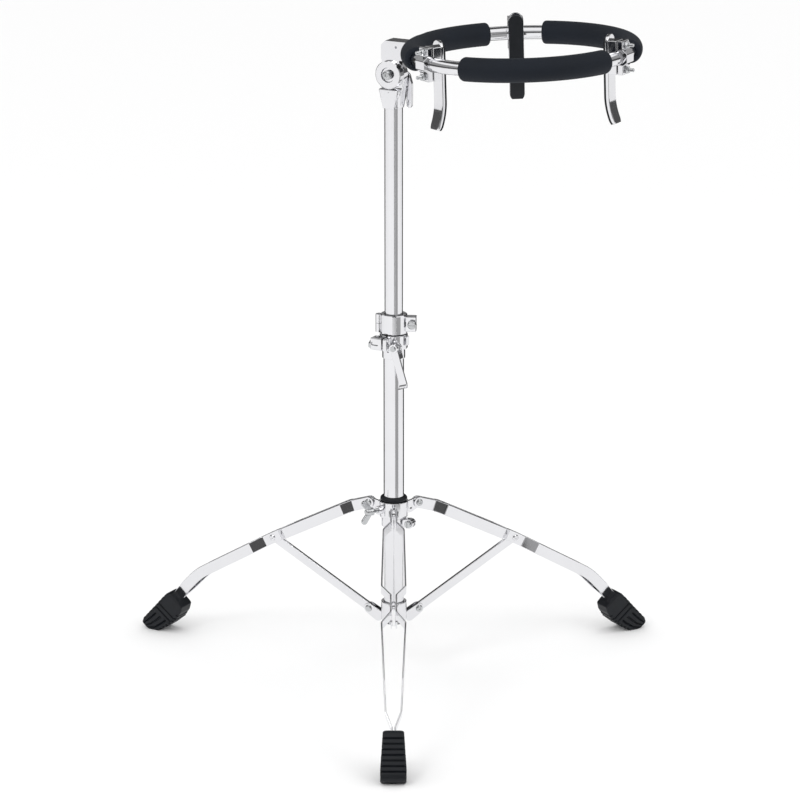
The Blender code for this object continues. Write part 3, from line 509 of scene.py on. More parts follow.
# ---- placing the finished pieces ----
def piece(node, made, matrix, body, slot, angle=38.0):
    """Put a shape in place as the finished look of one node, riding on its body."""
    made.name = node + "_finish"
    made.data.name = made.name
    made.data.transform(matrix)
    made.data.materials.clear()
    made.data.materials.append(finish(slot))
    made.data.shade_smooth()
    made.data.set_sharp_from_angle(angle=math.radians(angle))
    weighted = made.modifiers.new("weighted", "WEIGHTED_NORMAL")
    weighted.keep_sharp = True
    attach(made, body)
    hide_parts(node)
    return made


def keep(node, slot):
    """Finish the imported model's own mesh of a node, with softened edges."""
    made = bpy.data.objects[node]
    made.data.materials.clear()
    made.data.materials.append(finish(slot))
    rounding = made.modifiers.new("edges", "BEVEL")
    rounding.width, rounding.segments, rounding.angle_limit = 0.0003, 2, math.radians(40)
    rounding.harden_normals = True


# ---- column ----
def tube(node, body, bore):
    """Make a polished tube with a rolled lip at both ends."""
    low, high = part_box(node)
    outer = (high.x - low.x) / 2
    profile = [(bore, low.z), (outer, low.z), (outer, high.z), (bore, high.z)]
    piece(node, turned(profile, steps=96, edge=0.0005), COLUMN, body, "chrome")


def make_column():
    """Make both tubes, the end plug and the bush."""
    tube("base_tube", "column", LOWER_TUBE_BORE)
    tube("upper_tube", "upper", UPPER_TUBE_BORE)
    low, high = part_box("tube_plug")
    plug_r, flange_r, flange = 0.0128, 0.0143, 0.004
    piece("tube_plug", turned([
        (0, low.z), (flange_r, low.z), (flange_r, low.z + flange), (plug_r, low.z + flange),
        (plug_r, high.z), (0, high.z)], edge=0.0008), COLUMN, "column", "nylon")
    low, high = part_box("clamp_bush")
    piece("clamp_bush", turned([
        (0.0130, low.z), (0.0149, low.z), (0.0149, high.z), (0.0130, high.z)], steps=FINE),
        COLUMN, "swivel", "nylon")


def make_lower_bracket():
    """Make the fixed bracket with its three forked ears."""
    outer, bore, top = 0.0180, 0.0146, 0.112
    ear, slot = LINK_THICKNESS + 0.0050, LINK_THICKNESS / 2 + GAP
    joins, cuts = [], []
    for azimuth in LEG_AZIMUTHS.values():
        fork = plate(capsule((0.024, 0.0865), (PIVOT_R, BRACE_PIVOT_Z), 0.0085, 0.0075), ear, edge=0.0007)
        gap = box((outer + 0.0012, -slot, 0.05), (0.07, slot, 0.14), 0)
        hole = bar(PIN_HOLE_R, (PIVOT_R, -0.02, BRACE_PIVOT_Z), (PIVOT_R, 0.02, BRACE_PIVOT_Z), 0)
        for made in (fork, gap, hole):
            made.data.transform(turn(azimuth))
        joins.append(fork)
        cuts += [gap, hole]
    cuts.append(bar(bore, (0, 0, 0.04), (0, 0, 0.15), 0, FINE))
    body = turned([(0, 0.084), (outer, 0.084), (outer, top), (0, top)], steps=FINE, edge=0.0012)
    piece("lower_bracket", carve(body, joins, cuts), COLUMN, "column", "chrome")


# ---- legs ----
def leg_line():
    """Give the side view of a leg strip's centre line, from its top end to inside the shoe."""
    corners = [Vector(p) for p in (
        (PIVOT_R - 0.0076, COLLAR_PIVOT_Z + 0.0024), (0.0705, 0.2417), MID_PIVOT, (0.322, 0.1000),
        (0.353, 0.0680), (0.3875, 0.0320))]
    softness, steps = 0.014, 10
    line = [corners[0]]
    for before, corner, after in zip(corners, corners[1:], corners[2:]):
        enter = corner + (before - corner).normalized() * softness
        leave = corner + (after - corner).normalized() * softness
        for step in range(steps + 1):
            t = step / steps
            line.append((1 - t) ** 2 * enter + 2 * t * (1 - t) * corner + t ** 2 * leave)
    return line + [corners[-1]]


def strip_spacing(radius):
    """Give half the spacing of a leg's two strips, at a distance from the axis."""
    if radius <= STRIP_KNOTS[0][0]:
        return STRIP_KNOTS[0][1]
    for (r0, y0), (r1, y1) in zip(STRIP_KNOTS, STRIP_KNOTS[1:]):
        if radius <= r1:
            return y0 + (y1 - y0) * (radius - r0) / (r1 - r0)
    return STRIP_KNOTS[-1][1]


def strip(side):
    """Make one leg strip: a flat bar with rolled edges, cranked in and out along its length."""
    line, blend, edge = leg_line(), 0.0009, 0.0009
    spots = {round(point.x, 6) for point in line[1:]}
    spots |= {knot + offset for knot, _ in STRIP_KNOTS for offset in (-blend, -0.0003, 0.0003, blend)}
    spots |= {line[0].x + 0.00002 + 0.0080 * (1 - math.cos(math.pi / 2 * k / 9)) for k in range(10)}
    rings = []
    for x in sorted(spots):
        first, second = next((a, b) for a, b in zip(line, line[1:]) if x <= b.x + 1e-6)
        centre = first.lerp(second, (x - first.x) / (second.x - first.x))
        direction = (second - first).normalized()
        spacing = sum(strip_spacing(x + blend * k / 2) for k in range(-2, 3)) / 5
        slope = (strip_spacing(x + blend) - strip_spacing(x - blend)) / (2 * blend)
        inset = min(STRIP_HEIGHT / 2, x - line[0].x)
        half = math.sqrt((STRIP_HEIGHT / 2) ** 2 - (STRIP_HEIGHT / 2 - inset) ** 2)
        reach = STRIP_THICKNESS / 2 * math.hypot(1, slope * direction.x)
        rings.append([
            (centre.x - direction.y * h, side * spacing + t, centre.y + direction.x * h)
            for h, t in pill(half, reach, edge)])
    x, z = MID_PIVOT
    foot_y = side * (STRIP_PINCH + STRIP_THICKNESS / 2 - 0.0006)
    rivet = turned(
        [(0, 0), (0.0048, 0), (0.0046, 0.0012), (0.0030, 0.0023), (0.0016, 0.0024), (0.0012, 0.0017),
         (0, 0.0017)], along((x, foot_y, z), (x, side * 0.02, z)), 40, 0.0004)
    return carve(loft(rings), [rivet])


def rivet_pin(half_length):
    """Make a rivet along Y with a domed head at each end, one of them hollow."""
    head, shank = 0.0050, 0.0030
    full = half_length + 0.0018
    return turned([
        (0, full - 0.0008), (0.0014, full - 0.0008), (0.0018, full), (0.0034, full - 0.0001),
        (head, half_length + 0.0006), (head, half_length), (shank, half_length), (shank, -half_length),
        (head, -half_length), (head, -half_length - 0.0006), (0.0034, -full + 0.0003), (0, -full)],
        ACROSS, 40, 0.0003)


def shoe_reach(spot, direction):
    """Give how far the shoe's side outline lies from a point inside it, in one direction."""
    best = 0.0
    for start, end in zip(SHOE_OUTLINE, SHOE_OUTLINE[1:] + SHOE_OUTLINE[:1]):
        start, edge = Vector(start), Vector(end) - Vector(start)
        cross = direction.x * edge.y - direction.y * edge.x
        if abs(cross) < 1e-12:
            continue
        offset = start - spot
        distance = (offset.x * edge.y - offset.y * edge.x) / cross
        share = (offset.x * direction.y - offset.y * direction.x) / cross
        if -1e-6 <= share <= 1 + 1e-6:
            best = max(best, distance)
    return best


def groove(position, centre, width):
    """Give a smooth dip, 1 in the middle of a groove and 0 outside it."""
    return max(0.0, 1 - ((position - centre) / width) ** 2) ** 2


def clamp(value):
    """Hold a number between 0 and 1."""
    return max(0.0, min(1.0, value))


def shoe():
    """Make the rubber shoe: cross ribs on its tread and heel, bands and fingers on its flanks."""
    depth = bpy.context.scene.stand_sizes.shoe_groove
    top, axis, length = Vector((0.3645, 0.05475)), Vector((0.6231, -0.7827)), 0.0716
    out = Vector((0.7827, 0.6231))
    stations = 150
    rings = []
    for step in range(stations + 1):
        s = length * min(max(step / stations, 0.0005), 0.9995)
        spot = top + axis * s
        inner, outer = -shoe_reach(spot, -out), shoe_reach(spot, out)
        middle, half = (inner + outer) / 2, (outer - inner) / 2
        width = 0.0175 * (1 - 0.2286 * clamp((spot.y - 0.012) / 0.050))
        cap = 0.0022 * (1 - clamp(min(s, length - s) / 0.0030)) ** 2
        tread = sum(groove(s, 0.0125 + 0.0078 * k, 0.0017) for k in range(7))
        heel = sum(groove(s, 0.0180 + 0.0060 * k, 0.0016) for k in range(7))
        bands = groove(s, 0.0255, 0.0015) + groove(s, 0.0330, 0.0015)
        ring = []
        for v, y in pill(max(half - cap, 0.001), max(width - cap, 0.001), 0.0030, 4, (40, 10)):
            across = v / half
            face = clamp((abs(across) - 0.80) / 0.12)
            flank = clamp((abs(y) / width - 0.85) / 0.12)
            ribs = (tread if across > 0 else heel) * face
            start = clamp((s - 0.0385 - 0.0040 * across) / 0.0015)
            fingers = sum(groove(across, level, 0.11) for level in (-0.5, 0.0, 0.5)) * start
            v -= math.copysign(depth * ribs, v)
            y -= math.copysign(depth * flank * max(bands * (1 - face), fingers, ribs), y)
            place = spot + out * (middle + v)
            ring.append((place.x, y, max(place.y, 0.0)))
        rings.append(ring)
    notches = [bar(0.0011, (x, -0.03, z), (x, 0.03, z), 0, 16)
               for x, z in ((0.4200, 0.0116), (0.4166, 0.0038), (0.4096, -0.0003), (0.4010, -0.0004))]
    return carve(loft(rings), cuts=notches)


def make_legs():
    """Make the three legs: two strips, a pin and a shoe each."""
    for name, azimuth in LEG_AZIMUTHS.items():
        place, body = COLUMN @ turn(azimuth), name + "_leg"
        piece(name + "_leg_left_strip", strip(1), place, body, "chrome", 30)
        piece(name + "_leg_right_strip", strip(-1), place, body, "chrome", 30)
        hinge = place @ Matrix.Translation((PIVOT_R, 0, COLLAR_PIVOT_Z))
        pin = rivet_pin(STRIP_PINCH + STRIP_THICKNESS / 2 + GAP)
        piece(name + "_leg_pin", pin, hinge, body, "steel")
        piece(name + "_foot", shoe(), place, body, "rubber", 50)


def make_braces():
    """Make the three braces and their pins."""
    for name, azimuth in LEG_AZIMUTHS.items():
        hinge = COLUMN @ turn(azimuth) @ Matrix.Translation((PIVOT_R, 0, BRACE_PIVOT_Z))
        end = (MID_PIVOT[0] - PIVOT_R, MID_PIVOT[1] - BRACE_PIVOT_Z)
        bar_made = plate(capsule((0, 0), end, 0.0065, 0.0065), LINK_THICKNESS, edge=0.0008)
        hole = bar(PIN_HOLE_R, (0, -0.01, 0), (0, 0.01, 0), 0)
        piece(name + "_brace", carve(bar_made, cuts=[hole]), hinge, name + "_brace", "chrome")
        pin = rivet_pin(LINK_THICKNESS / 2 + 2 * GAP + 0.0022)
        piece(name + "_brace_pin", pin, hinge, name + "_brace", "steel")


# ---- sliding collar ----
def make_collar():
    """Make the sliding collar, its rubber ring, its pinch bolt and its wing bolt."""
    bore, hub, skirt = 0.0147, 0.0205, 0.0180
    top, middle, bottom = 0.2615, 0.2385, 0.2245
    joins, cuts = [], []
    for azimuth in LEG_AZIMUTHS.values():
        ear = plate(
            capsule((0.0250, 0.2480), (PIVOT_R, COLLAR_PIVOT_Z), 0.0090, 0.0070), LINK_THICKNESS,
            edge=0.0007)
        hole = bar(PIN_HOLE_R, (PIVOT_R, -0.01, COLLAR_PIVOT_Z), (PIVOT_R, 0.01, COLLAR_PIVOT_Z), 0)
        window = bar(0.0022, (0.0265, -0.01, 0.2465), (0.0265, 0.01, 0.2465), 0)
        for made in (ear, hole, window):
            made.data.transform(turn(azimuth))
        joins.append(ear)
        cuts += [hole, window]
    lug_z = (bottom + middle) / 2 - 0.0005
    lugs = plate(capsule((0.0213, lug_z), (PINCH_R, lug_z), 0.0062, 0.0068), 0.0110, edge=0.0008)
    slot = box((0.0147, -0.0009, 0.210), (0.040, 0.0009, middle - 0.0030), 0)
    pinch = bar(0.0028, (PINCH_R, -0.02, lug_z), (PINCH_R, 0.02, lug_z), 0)
    for made in (lugs, slot, pinch):
        made.data.transform(turn(PINCH_AZIMUTH))
    boss = bar(0.0062, (0.016, 0, WING_BOLT_Z), (0.0265, 0, WING_BOLT_Z), 0.0007)
    boss_hole = bar(PIN_HOLE_R, (0.008, 0, WING_BOLT_Z), (0.040, 0, WING_BOLT_Z), 0)
    for made in (boss, boss_hole):
        made.data.transform(turn(WING_AZIMUTH))
    hub_shape = turned([
        (bore, bottom), (skirt, bottom), (skirt, middle - 0.0005), (hub, middle), (hub, top), (bore, top)],
        steps=FINE, edge=0.0010)
    cuts += [slot, pinch, boss_hole]
    piece("leg_collar", carve(hub_shape, joins + [lugs, boss], cuts), COLUMN, "collar", "chrome")
    low, high = top + GAP, top + 0.0065
    piece("collar_ring", turned([
        (bore, low), (0.0176, low), (0.0190, low + 0.0020), (0.0190, high - 0.0020),
        (0.0172, high), (bore, high)], steps=FINE, edge=0.0010), COLUMN, "collar", "rubber")
    make_collar_fasteners(lug_z)


def make_collar_fasteners(lug_z):
    """Make the collar's pinch bolt and its wing bolt."""
    bolt = carve(
        turned([(0, -0.0092), (0.0044, -0.0092), (0.0050, -0.0080), (0.0050, -0.0058), (0.0025, -0.0058),
                (0.0025, 0.0078), (0, 0.0078)], turn(-90, "X"), 40),
        cuts=[box((-0.0006, -0.0100, -0.0040), (0.0006, -0.0083, 0.0040), 0)])
    pinch = COLUMN @ turn(PINCH_AZIMUTH) @ Matrix.Translation((PINCH_R, 0, lug_z))
    piece("collar_pinch_bolt", bolt, pinch, "collar", "steel")
    shank = thread(0.0030, (0.0152, 0, 0), (0.036, 0, 0))
    hub = turned([(0, 0), (0.0058, 0), (0.0050, 0.0100), (0.0030, 0.0120), (0, 0.0120)],
                 along((0.034, 0, 0), (0.05, 0, 0)), 48, 0.0008)
    wings = [plate(capsule((0.040, side * 0.003), (0.0475, side * 0.0130), 0.0042, 0.0046), 0.0034,
                   edge=0.0010) for side in (1, -1)]
    axis = COLUMN @ turn(WING_AZIMUTH) @ Matrix.Translation((0, 0, WING_BOLT_Z))
    piece("collar_wing_bolt", carve(shank, [hub] + wings), axis, "collar_wing", "steel")


# ---- height clamp ----
def make_height_clamp():
    """Make the split clamp, its eye bolt, its cross pin and its lever."""
    low, shoulder, seat, top = 0.4700, 0.4845, 0.4863, 0.5045
    body = turned([
        (0, low), (0.0160, low), (0.0160, shoulder - 0.0015), (0.0195, shoulder), (0.0195, top), (0, top)],
        steps=FINE, edge=0.0009)
    ears = box((0.0160, -0.0190, 0.4860), (0.0325, 0.0070, 0.5035), 0.0015)
    slot = box((0.0100, -0.0013, 0.4800), (0.0400, 0.0013, 0.5100), 0)
    line = plate([(0.0300, 0.4925), (0.0400, 0.4925), (0.0400, 0.4975), (0.0300, 0.4975)], 0.0110,
                 -0.0120, 0.0015)
    hole = bar(PIN_HOLE_R, (CLAMP_EYE_R, -0.03, CLAMP_EYE_Z), (CLAMP_EYE_R, 0.02, CLAMP_EYE_Z), 0)
    key = box((-0.0225, -0.0040, 0.4900), (-0.0180, 0.0040, 0.5030), 0.0008)
    key.data.transform(turn(150))
    for made in (ears, slot, line, hole):
        made.data.transform(turn(CLAMP_AZIMUTH))
    bore = turned([(0, 0.44), (0.0146, 0.44), (0.0146, seat), (0.0152, seat), (0.0152, 0.52), (0, 0.52)],
                  steps=FINE, edge=0)
    piece("height_clamp", carve(body, [ears, key], [slot, line, hole, bore]), COLUMN, "column", "chrome")
    ear_frame = COLUMN @ turn(CLAMP_AZIMUTH) @ Matrix.Translation((CLAMP_EYE_R, 0, CLAMP_EYE_Z))
    eye_y = 0.0175
    bolt = carve(
        bar(0.0030, (0, -0.0225, 0), (0, 0.0140, 0)),
        [nut(0.0058, (0, -0.0235, 0), (0, -0.0193, 0)),
         box((-0.0027, 0.0100, -0.0045), (0.0027, 0.0220, 0.0045), 0.0010)],
        [bar(EYE_HOLE_R, (-0.01, eye_y, 0), (0.01, eye_y, 0), 0)])
    piece("clamp_bolt", bolt, ear_frame, "column", "steel")
    hinge = ear_frame @ Matrix.Translation((0, eye_y, 0))
    piece("lever_pin", turned([
        (0, -0.0078), (0.0036, -0.0078), (0.0036, -0.0066), (0.0020, -0.0066), (0.0020, 0.0078),
        (0.0038, 0.0078), (0.0038, 0.0092), (0, 0.0092)], turn(90, "Y"), 40), hinge, "column", "steel")
    piece("height_lever", lever(), hinge @ turn(17, "X"), "height_lever", "chrome")


def lever():
    """Make the cam lever: two cheeks, a waisted blade and a lip that curls away from the column."""
    rings, length = [], 0.0560
    for step in range(41):
        share = step / 40
        curl = max(0.0, (share - 0.90) / 0.10)
        width = 0.0056 + 0.0010 * share ** 2 + 0.0006 * curl
        centre = 0.0047 + 0.0050 * curl ** 2
        z = -0.0040 - (length - 0.0034) * min(share, 0.985) - 0.0008 * max(0.0, share - 0.985) * 60
        rings.append([(centre + t, w, z) for w, t in pill(width, 0.0013, 0.0008)])
    blade = loft(rings)
    joins = [
        box((-0.0050, -0.0052, -0.0165), (0.0050, 0.0052, -0.0085), 0.0008),
        box((-0.0060, -0.0047, -0.0150), (-0.0034, 0.0047, -0.0030), 0.0006),
        bar(0.0066, (0.0031, 0, 0), (0.0074, 0, 0), 0.0006),
        bar(0.0066, (-0.0063, 0, 0), (-0.0031, 0, 0), 0.0006)]
    return carve(blade, joins, [bar(EYE_HOLE_R, (-0.02, 0, 0), (0.02, 0, 0), 0)])


# ---- memory lock ----
def make_memory_lock():
    """Finish the hinged stop ring's two halves, and make its hinge pin and its screw."""
    low, high = 0.5055, 0.5330
    middle = (low + high) / 2
    place, screw_x, knuckle_x = COLUMN @ turn(LOCK_AZIMUTH), 0.0262, -0.0205
    keep("memory_lock_body", "chrome")
    keep("memory_lock_jaw", "chrome")
    pin = bar(0.0019, (knuckle_x, 0, low), (knuckle_x, 0, high))
    piece("memory_lock_pin", pin, place, "memory_lock", "steel")
    screw = turned([
        (0, -0.0118), (0.0050, -0.0118), (0.0062, -0.0104), (0.0062, -0.0066), (0.0025, -0.0066),
        (0.0025, 0.0105), (0, 0.0105)], turn(-90, "X"), 48, 0.0006)
    slot = box((-0.0050, -0.0125, -0.0006), (0.0050, -0.0108, 0.0006), 0)
    piece("memory_lock_screw", carve(screw, cuts=[slot]),
          place @ Matrix.Translation((screw_x, 0, middle)), "memory_screw", "steel")


# ---- tilter ----
def make_tilter():
    """Make the tilter's base, its bolt and its wing lever, and finish the ring's bracket."""
    low, cone_top = 0.8245 - TILT_Z, 0.8500 - TILT_Z
    base = turned([(0, low), (0.0142, low), (0.0155, cone_top - 0.003), (0.0142, cone_top), (0, cone_top)],
                  steps=FINE, edge=0.0010)
    neck = plate([
        (-0.0138, low + 0.004), (0.0138, low + 0.004), (0.0180, -0.0075), (0.0180, 0), (-0.0180, 0),
        (-0.0180, -0.0075)], 0.0116, edge=0.0010)
    facet = plate([(-0.0085, low), (0.0085, low), (0.0150, -0.0206), (-0.0150, -0.0206)], 0.0306, edge=0.0009)
    disc = bar(DISC_R, (0, -0.0058, 0), (0, 0.0058, 0), 0.0008, FINE)
    base = carve(base, [neck, facet, disc], [
        bar(0.0130, (0, 0, low - 0.01), (0, 0, 0.8463 - TILT_Z), 0, FINE),
        bar(TILT_HOLE_R, (0, -0.02, 0), (0, 0.02, 0), 0)])
    piece("tilter_base", base, TILTER, "upper", "chrome")
    bolt = carve(
        turned([(0, -0.0248), (0.0034, -0.0248), (0.0040, -0.0238), (0.0040, 0.0178), (0.0066, 0.0178),
                (0.0064, 0.0200), (0.0048, 0.0214), (0, 0.0215)], ACROSS, 48, 0.0006),
        cuts=[nut(0.0026, (0, -0.0225, 0), (0, -0.0196, 0))])
    piece("tilter_bolt", bolt, TILTER, "upper", "steel")
    hub = turned([(0, -0.0195), (0.0060, -0.0195), (0.0080, -0.0160), (0.0080, -0.0062), (0, -0.0062)],
                 ACROSS, 48, 0.0008)
    arm = plate([
        (-0.0060, 0.0045), (0.0110, 0.0050), (0.0195, -0.0010), (0.0235, -0.0140), (0.0230, -0.0460),
        (0.0190, -0.0490), (0.0150, -0.0460), (0.0140, -0.0180), (0.0080, -0.0080), (-0.0040, -0.0060)],
        0.0046, 0.0110, 0.0012, 0.0022)
    wing = carve(hub, [arm], [bar(TILT_HOLE_R, (0, -0.01, 0), (0, 0.03, 0), 0)])
    piece("tilter_wing", wing, TILTER, "tilter_wing", "chrome")
    keep("ring_bracket", "chrome")


# ---- ring ----
def circle_at(angle, radius, sides):
    """Give the points of a round section of the ring at an angle, in degrees."""
    cosine, sine = math.cos(math.radians(angle)), math.sin(math.radians(angle))
    ring = []
    for side in range(sides):
        around = math.tau * side / sides
        reach = RING_R + radius * math.cos(around)
        ring.append((reach * cosine, reach * sine, radius * math.sin(around)))
    return ring


def rod_stretch(azimuth, span, radius=ROD_R + GAP, sides=40):
    """Make a solid stretch of the rod's path, to cut a channel with."""
    steps = 20
    first = azimuth - span / 2
    return loft([circle_at(first + span * k / steps, radius, sides) for k in range(steps + 1)])


def foam_sleeve(node, azimuth, span):
    """Make one foam sleeve, with rounded and slightly waisted ends."""
    sizes = bpy.context.scene.stand_sizes
    steps, sides = 150, 56
    inner, outer = ROD_R + GAP, sizes.foam_radius
    arc = math.radians(span) * RING_R
    profile = []
    for step in range(steps + 1):
        spread = (1 - math.cos(math.pi * step / steps)) / 2
        from_end = min(spread, 1 - spread) * arc
        inset = min(1.0, from_end / sizes.foam_end)
        round_off = math.sqrt(1 - (1 - inset) ** 2)
        radius = inner + (outer - inner) * (0.30 + 0.70 * round_off)
        profile.append((azimuth + span * (spread - 0.5), radius))
    rings = [circle_at(angle, radius, sides) for angle, radius in profile]
    rings += [circle_at(angle, inner, sides) for angle, _ in reversed(profile)]
    made = loft(rings, closed=True)
    if node.startswith("bracket"):
        notch = box((RING_R + 0.0022, -0.0125, -0.05), (0.20, 0.0125, 0.05), 0)
        notch.data.transform(turn(azimuth))
        made = carve(made, cuts=[notch])
    sleeve = piece(node, made, RING, "ring", "foam", 60)


def make_ring():
    """Make the ring's rod and its three foam sleeves."""
    sections = 216
    rod = loft([circle_at(360 * k / sections, ROD_R, 48) for k in range(sections)], closed=True)
    piece("ring_rod", rod, RING, "ring", "chrome")
    for name, (azimuth, span) in FOAM_SLEEVES.items():
        foam_sleeve(name + "_foam_sleeve", azimuth, span)


# ---- clamp arms ----
def arm_strip(offset, thickness, width, top, last, edge):
    """Make a flat bar down the arm's side view: straight, then flared outwards, round at both ends."""
    bend, bottom, flare = -0.050, -0.088, 0.0085
    spots = [(ARM_OUTER_R, top - 0.0003 - 0.0100 * (1 - math.cos(math.pi / 2 * k / 10)), 0.0)
             for k in range(11)]
    spots += [(ARM_OUTER_R, top - 0.0103 + (bend - top + 0.0103) * k / 8, 0.0) for k in range(1, 9)]
    for step in range(1, 25):
        share = last * math.sin(math.pi / 2 * step / 24)
        lean = math.atan2(2 * flare * share, bend - bottom)
        spots.append((ARM_OUTER_R + flare * share ** 2, bend - (bend - bottom) * share, lean))
    centres = [(face - offset * math.cos(lean), z - offset * math.sin(lean), lean)
               for face, z, lean in spots]
    end = centres[-1][1]
    rings = []
    for x, z, lean in centres:
        from_end = min(width / 2, top - z, z - end + 0.0035)
        reach = math.sqrt((width / 2) ** 2 - (width / 2 - max(from_end, 0.0001)) ** 2)
        rings.append([(x + t * math.cos(lean), w, z + t * math.sin(lean))
                      for w, t in pill(reach, thickness / 2, edge)])
    return loft(rings)


def bolt_holes():
    """Make the cutters of an arm's two bolt holes."""
    return [bar(BOLT_HOLE_R, (RING_R - 0.0110, 0, z), (0.170, 0, z), 0)
            for z in (CLAMP_BOLT_Z, -CLAMP_BOLT_Z)]


def make_arms():
    """Make the three clamp arms: bar with its inner jaw, pad, outer jaw and two bolts."""
    half, jaw, face = ARM_WIDTH / 2, 0.0225, RING_R + 0.0080
    for name, azimuth in ARM_AZIMUTHS.items():
        place, body = RING @ turn(azimuth), name + "_arm"
        inner = box((ARM_OUTER_R - 0.001, -half, -jaw), (RING_R - 0.0008, half, jaw), 0.0010)
        arm = arm_strip(ARM_BAR / 2, ARM_BAR, ARM_WIDTH, 0.030, 1.0, 0.0012)
        arm = carve(arm, [inner], [rod_stretch(0, 16), *bolt_holes()])
        piece(name + "_arm_bar", arm, place, body, "chrome")
        pad = arm_strip(ARM_BAR + GAP + ARM_PAD / 2, ARM_PAD, ARM_WIDTH - 0.001, 0.027, 0.98, 0.0009)
        piece(name + "_arm_pad", pad, place, body, "rubber")
        outer = plate([
            (RING_R + 0.0008, -jaw), (face, -jaw), (face, -0.0112), (RING_R + 0.0145, -0.0060),
            (RING_R + 0.0145, 0.0060), (face, 0.0112), (face, jaw), (RING_R + 0.0008, jaw)],
            ARM_WIDTH, edge=0.0008, corner=0.0016)
        outer = carve(outer, cuts=[rod_stretch(0, 16), *bolt_holes()])
        piece(name + "_arm_jaw", outer, place, body, "chrome")
        for level, z in (("upper", CLAMP_BOLT_Z), ("lower", -CLAMP_BOLT_Z)):
            bolt = carve(
                thread(0.0025, (RING_R - 0.0106, 0, z), (0.1650, 0, z)),
                [nut(0.0050, (face + GAP, 0, z), (face + 0.0045, 0, z))])
            piece(f"{name}_arm_{level}_bolt", bolt, place, body, "steel")


# ---- floor, light and camera ----
def plain_material(name, colour, glow=0.0):
    """Make a matt material, which gives off its own light where a glow is given."""
    shader = Shader(name)
    shader.set(Base_Color=(*colour, 1.0), Roughness=0.95)
    if glow:
        shader.set(Emission_Color=(glow, glow, glow, 1.0), Emission_Strength=1.0)
    return shader.material


def unseen(made, name, glow):
    """Make a studio card of a shape, seen only in the chrome's reflections."""
    made.name = name
    made.data.materials.append(plain_material(name, (0.0, 0.0, 0.0), glow))
    for ray in ("camera", "diffuse", "shadow", "transmission", "volume_scatter"):
        setattr(made, "visible_" + ray, False)


def card(name, azimuth, span, radius, low, high, glow):
    """Stand a curved studio card round the column."""
    steps = 12 + int(span / 6)
    bm = bmesh.new()
    rows = []
    for step in range(steps + 1):
        angle = math.radians(azimuth - 90 + span * (step / steps - 0.5))
        rows.append([bm.verts.new((radius * math.cos(angle), radius * math.sin(angle), z))
                     for z in (low, high)])
    for (low_a, high_a), (low_b, high_b) in zip(rows, rows[1:]):
        bm.faces.new((low_a, low_b, high_b, high_a))
    unseen(shape(bm, COLUMN), name, glow)


def ceiling(name, middle, width, depth, glow):
    """Hang a flat studio card over the stand."""
    bm = bmesh.new()
    bmesh.ops.create_grid(bm, x_segments=1, y_segments=1, size=0.5)
    unseen(shape(bm, Matrix.Translation(middle) @ Matrix.Diagonal((width, depth, 1, 1))), name, glow)


def make_stage():
    """Make the pale floor, the studio light, the reflection cards and the camera."""
    scene = bpy.context.scene
    scene.view_settings.view_transform = "Standard"
    bm = bmesh.new()
    bmesh.ops.create_grid(bm, x_segments=1, y_segments=1, size=60)
    floor = shape(bm)
    floor.name = "floor"
    floor.data.materials.append(plain_material("floor", scene.stand_colours.floor))
    near, far = 0.80, 7.0       # distances of the cards from the column
    for name, azimuth, span, radius, low, high, glow in (
            ("card_narrow", 9, 6, near, 0.270, 1.1, 0.005),
            ("card_soft", 34, 36, near, 0.002, 1.1, 0.40),
            ("card_left", -150, 48, near, 0.002, 1.1, 0.02),
            ("card_right", 150, 48, near, 0.002, 1.1, 0.02),
            ("horizon_low", 0, 360, far, 0.35, 2.4, 0.08),
            ("horizon_high", 0, 360, far, 2.4, 5.6, 0.34)):
        card(name, azimuth, span, radius, low, high, glow)
    ceiling("card_top", (0, 1.15, 2.6), 2.6, 1.9, 0.07)
    world = bpy.data.worlds.new("studio")
    scene.world = world
    world.use_nodes = True
    background = world.node_tree.nodes["Background"]
    background.inputs["Color"].default_value = (1.0, 1.0, 1.0, 1.0)
    background.inputs["Strength"].default_value = 1.08
    for name, place, size, power in (
            ("key", (-2.4, -2.6, 3.4), 1.2, 22.0), ("fill", (2.8, -1.8, 2.8), 1.4, 12.0)):
        light = bpy.data.objects.new(name, bpy.data.lights.new(name, "AREA"))
        light.data.size = size
        light.data.energy = power
        light.location = place
        light.rotation_euler = (Vector((0, 0, 0.4)) - Vector(place)).to_track_quat("-Z", "Y").to_euler()
        scene.collection.objects.link(light)
    camera = bpy.data.objects.new("camera", bpy.data.cameras.new("camera"))
    distance, height, pitch, aside = 4.956, 1.863, 16.364, 0.0087
    camera.data.lens = 166.5
    camera.data.sensor_width = 36.0
    camera.data.clip_end = 200.0
    camera.location = COLUMN.translation + Vector((aside, -distance, height))
    camera.rotation_euler = (math.radians(90 - pitch), 0, 0)
    scene.collection.objects.link(camera)
    scene.camera = camera


# ---- operators, panel and registration ----
class MakeStage(bpy.types.Operator):
    """Make the floor, the light and the camera."""
    bl_idname = "stand.make_stage"
    bl_label = "Stage"

    def execute(self, context):
        make_stage()
        return {"FINISHED"}


class MakeColumn(bpy.types.Operator):
    """Make the tubes, the plug, the bush and the lower bracket."""
    bl_idname = "stand.make_column"
    bl_label = "Column"

    def execute(self, context):
        make_column()
        make_lower_bracket()
        return {"FINISHED"}


class MakeLegs(bpy.types.Operator):
    """Make the three legs with their shoes."""
    bl_idname = "stand.make_legs"
    bl_label = "Legs"

    def execute(self, context):
        make_legs()
        return {"FINISHED"}


class MakeBraces(bpy.types.Operator):
    """Make the three braces."""
    bl_idname = "stand.make_braces"
    bl_label = "Braces"

    def execute(self, context):
        make_braces()
        return {"FINISHED"}


class MakeCollar(bpy.types.Operator):
    """Make the sliding collar and its fasteners."""
    bl_idname = "stand.make_collar"
    bl_label = "Collar"

    def execute(self, context):
        make_collar()
        return {"FINISHED"}


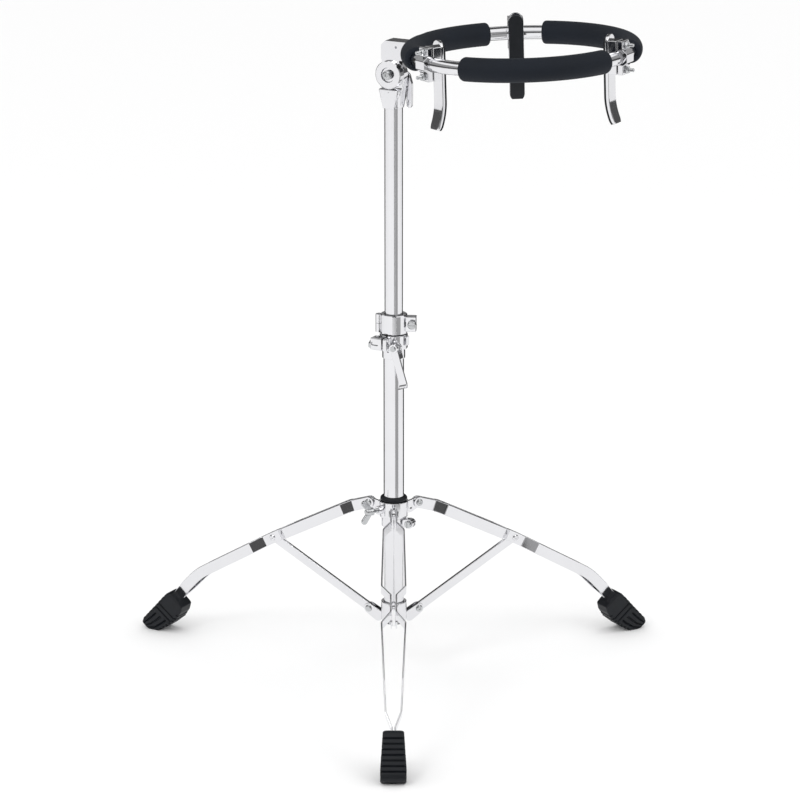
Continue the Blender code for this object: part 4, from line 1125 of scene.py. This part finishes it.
class MakeHeightClamp(bpy.types.Operator):
    """Make the height clamp with its lever."""
    bl_idname = "stand.make_height_clamp"
    bl_label = "Height Clamp"

    def execute(self, context):
        make_height_clamp()
        return {"FINISHED"}


class MakeMemoryLock(bpy.types.Operator):
    """Make the memory lock."""
    bl_idname = "stand.make_memory_lock"
    bl_label = "Memory Lock"

    def execute(self, context):
        make_memory_lock()
        return {"FINISHED"}


class MakeTilter(bpy.types.Operator):
    """Make the tilter and the ring's bracket."""
    bl_idname = "stand.make_tilter"
    bl_label = "Tilter"

    def execute(self, context):
        make_tilter()
        return {"FINISHED"}


class MakeRing(bpy.types.Operator):
    """Make the ring's rod and its foam sleeves."""
    bl_idname = "stand.make_ring"
    bl_label = "Ring"

    def execute(self, context):
        make_ring()
        return {"FINISHED"}


class MakeArms(bpy.types.Operator):
    """Make the three clamp arms."""
    bl_idname = "stand.make_arms"
    bl_label = "Clamp Arms"

    def execute(self, context):
        make_arms()
        return {"FINISHED"}


OPERATORS = (
    MakeStage, MakeColumn, MakeLegs, MakeBraces, MakeCollar, MakeHeightClamp, MakeMemoryLock,
    MakeTilter, MakeRing, MakeArms)


class StandPanel(bpy.types.Panel):
    """Lists the stand's settings and the operators that build it."""
    bl_idname = "VIEW3D_PT_drum_stand"
    bl_label = "Drum Stand"
    bl_space_type = "VIEW_3D"
    bl_region_type = "UI"
    bl_category = "Drum Stand"

    def draw(self, context):
        for group in (context.scene.stand_sizes, context.scene.stand_colours):
            for name in group.__annotations__:
                self.layout.prop(group, name)
        for operator in OPERATORS:
            self.layout.operator(operator.bl_idname)


CLASSES = (StandSizes, StandColours, *OPERATORS, StandPanel)


def register():
    """Register the classes and attach the settings to the scene."""
    for cls in CLASSES:
        bpy.utils.register_class(cls)
    bpy.types.Scene.stand_sizes = bpy.props.PointerProperty(type=StandSizes)
    bpy.types.Scene.stand_colours = bpy.props.PointerProperty(type=StandColours)


def unregister():
    """Detach the settings and unregister the classes."""
    del bpy.types.Scene.stand_colours
    del bpy.types.Scene.stand_sizes
    for cls in reversed(CLASSES):
        bpy.utils.unregister_class(cls)


def main():
    """Build the stand."""
    register()
    for operator in OPERATORS:
        group, name = operator.bl_idname.split(".")
        getattr(getattr(bpy.ops, group), name)()


if __name__ == "__main__":
    main()
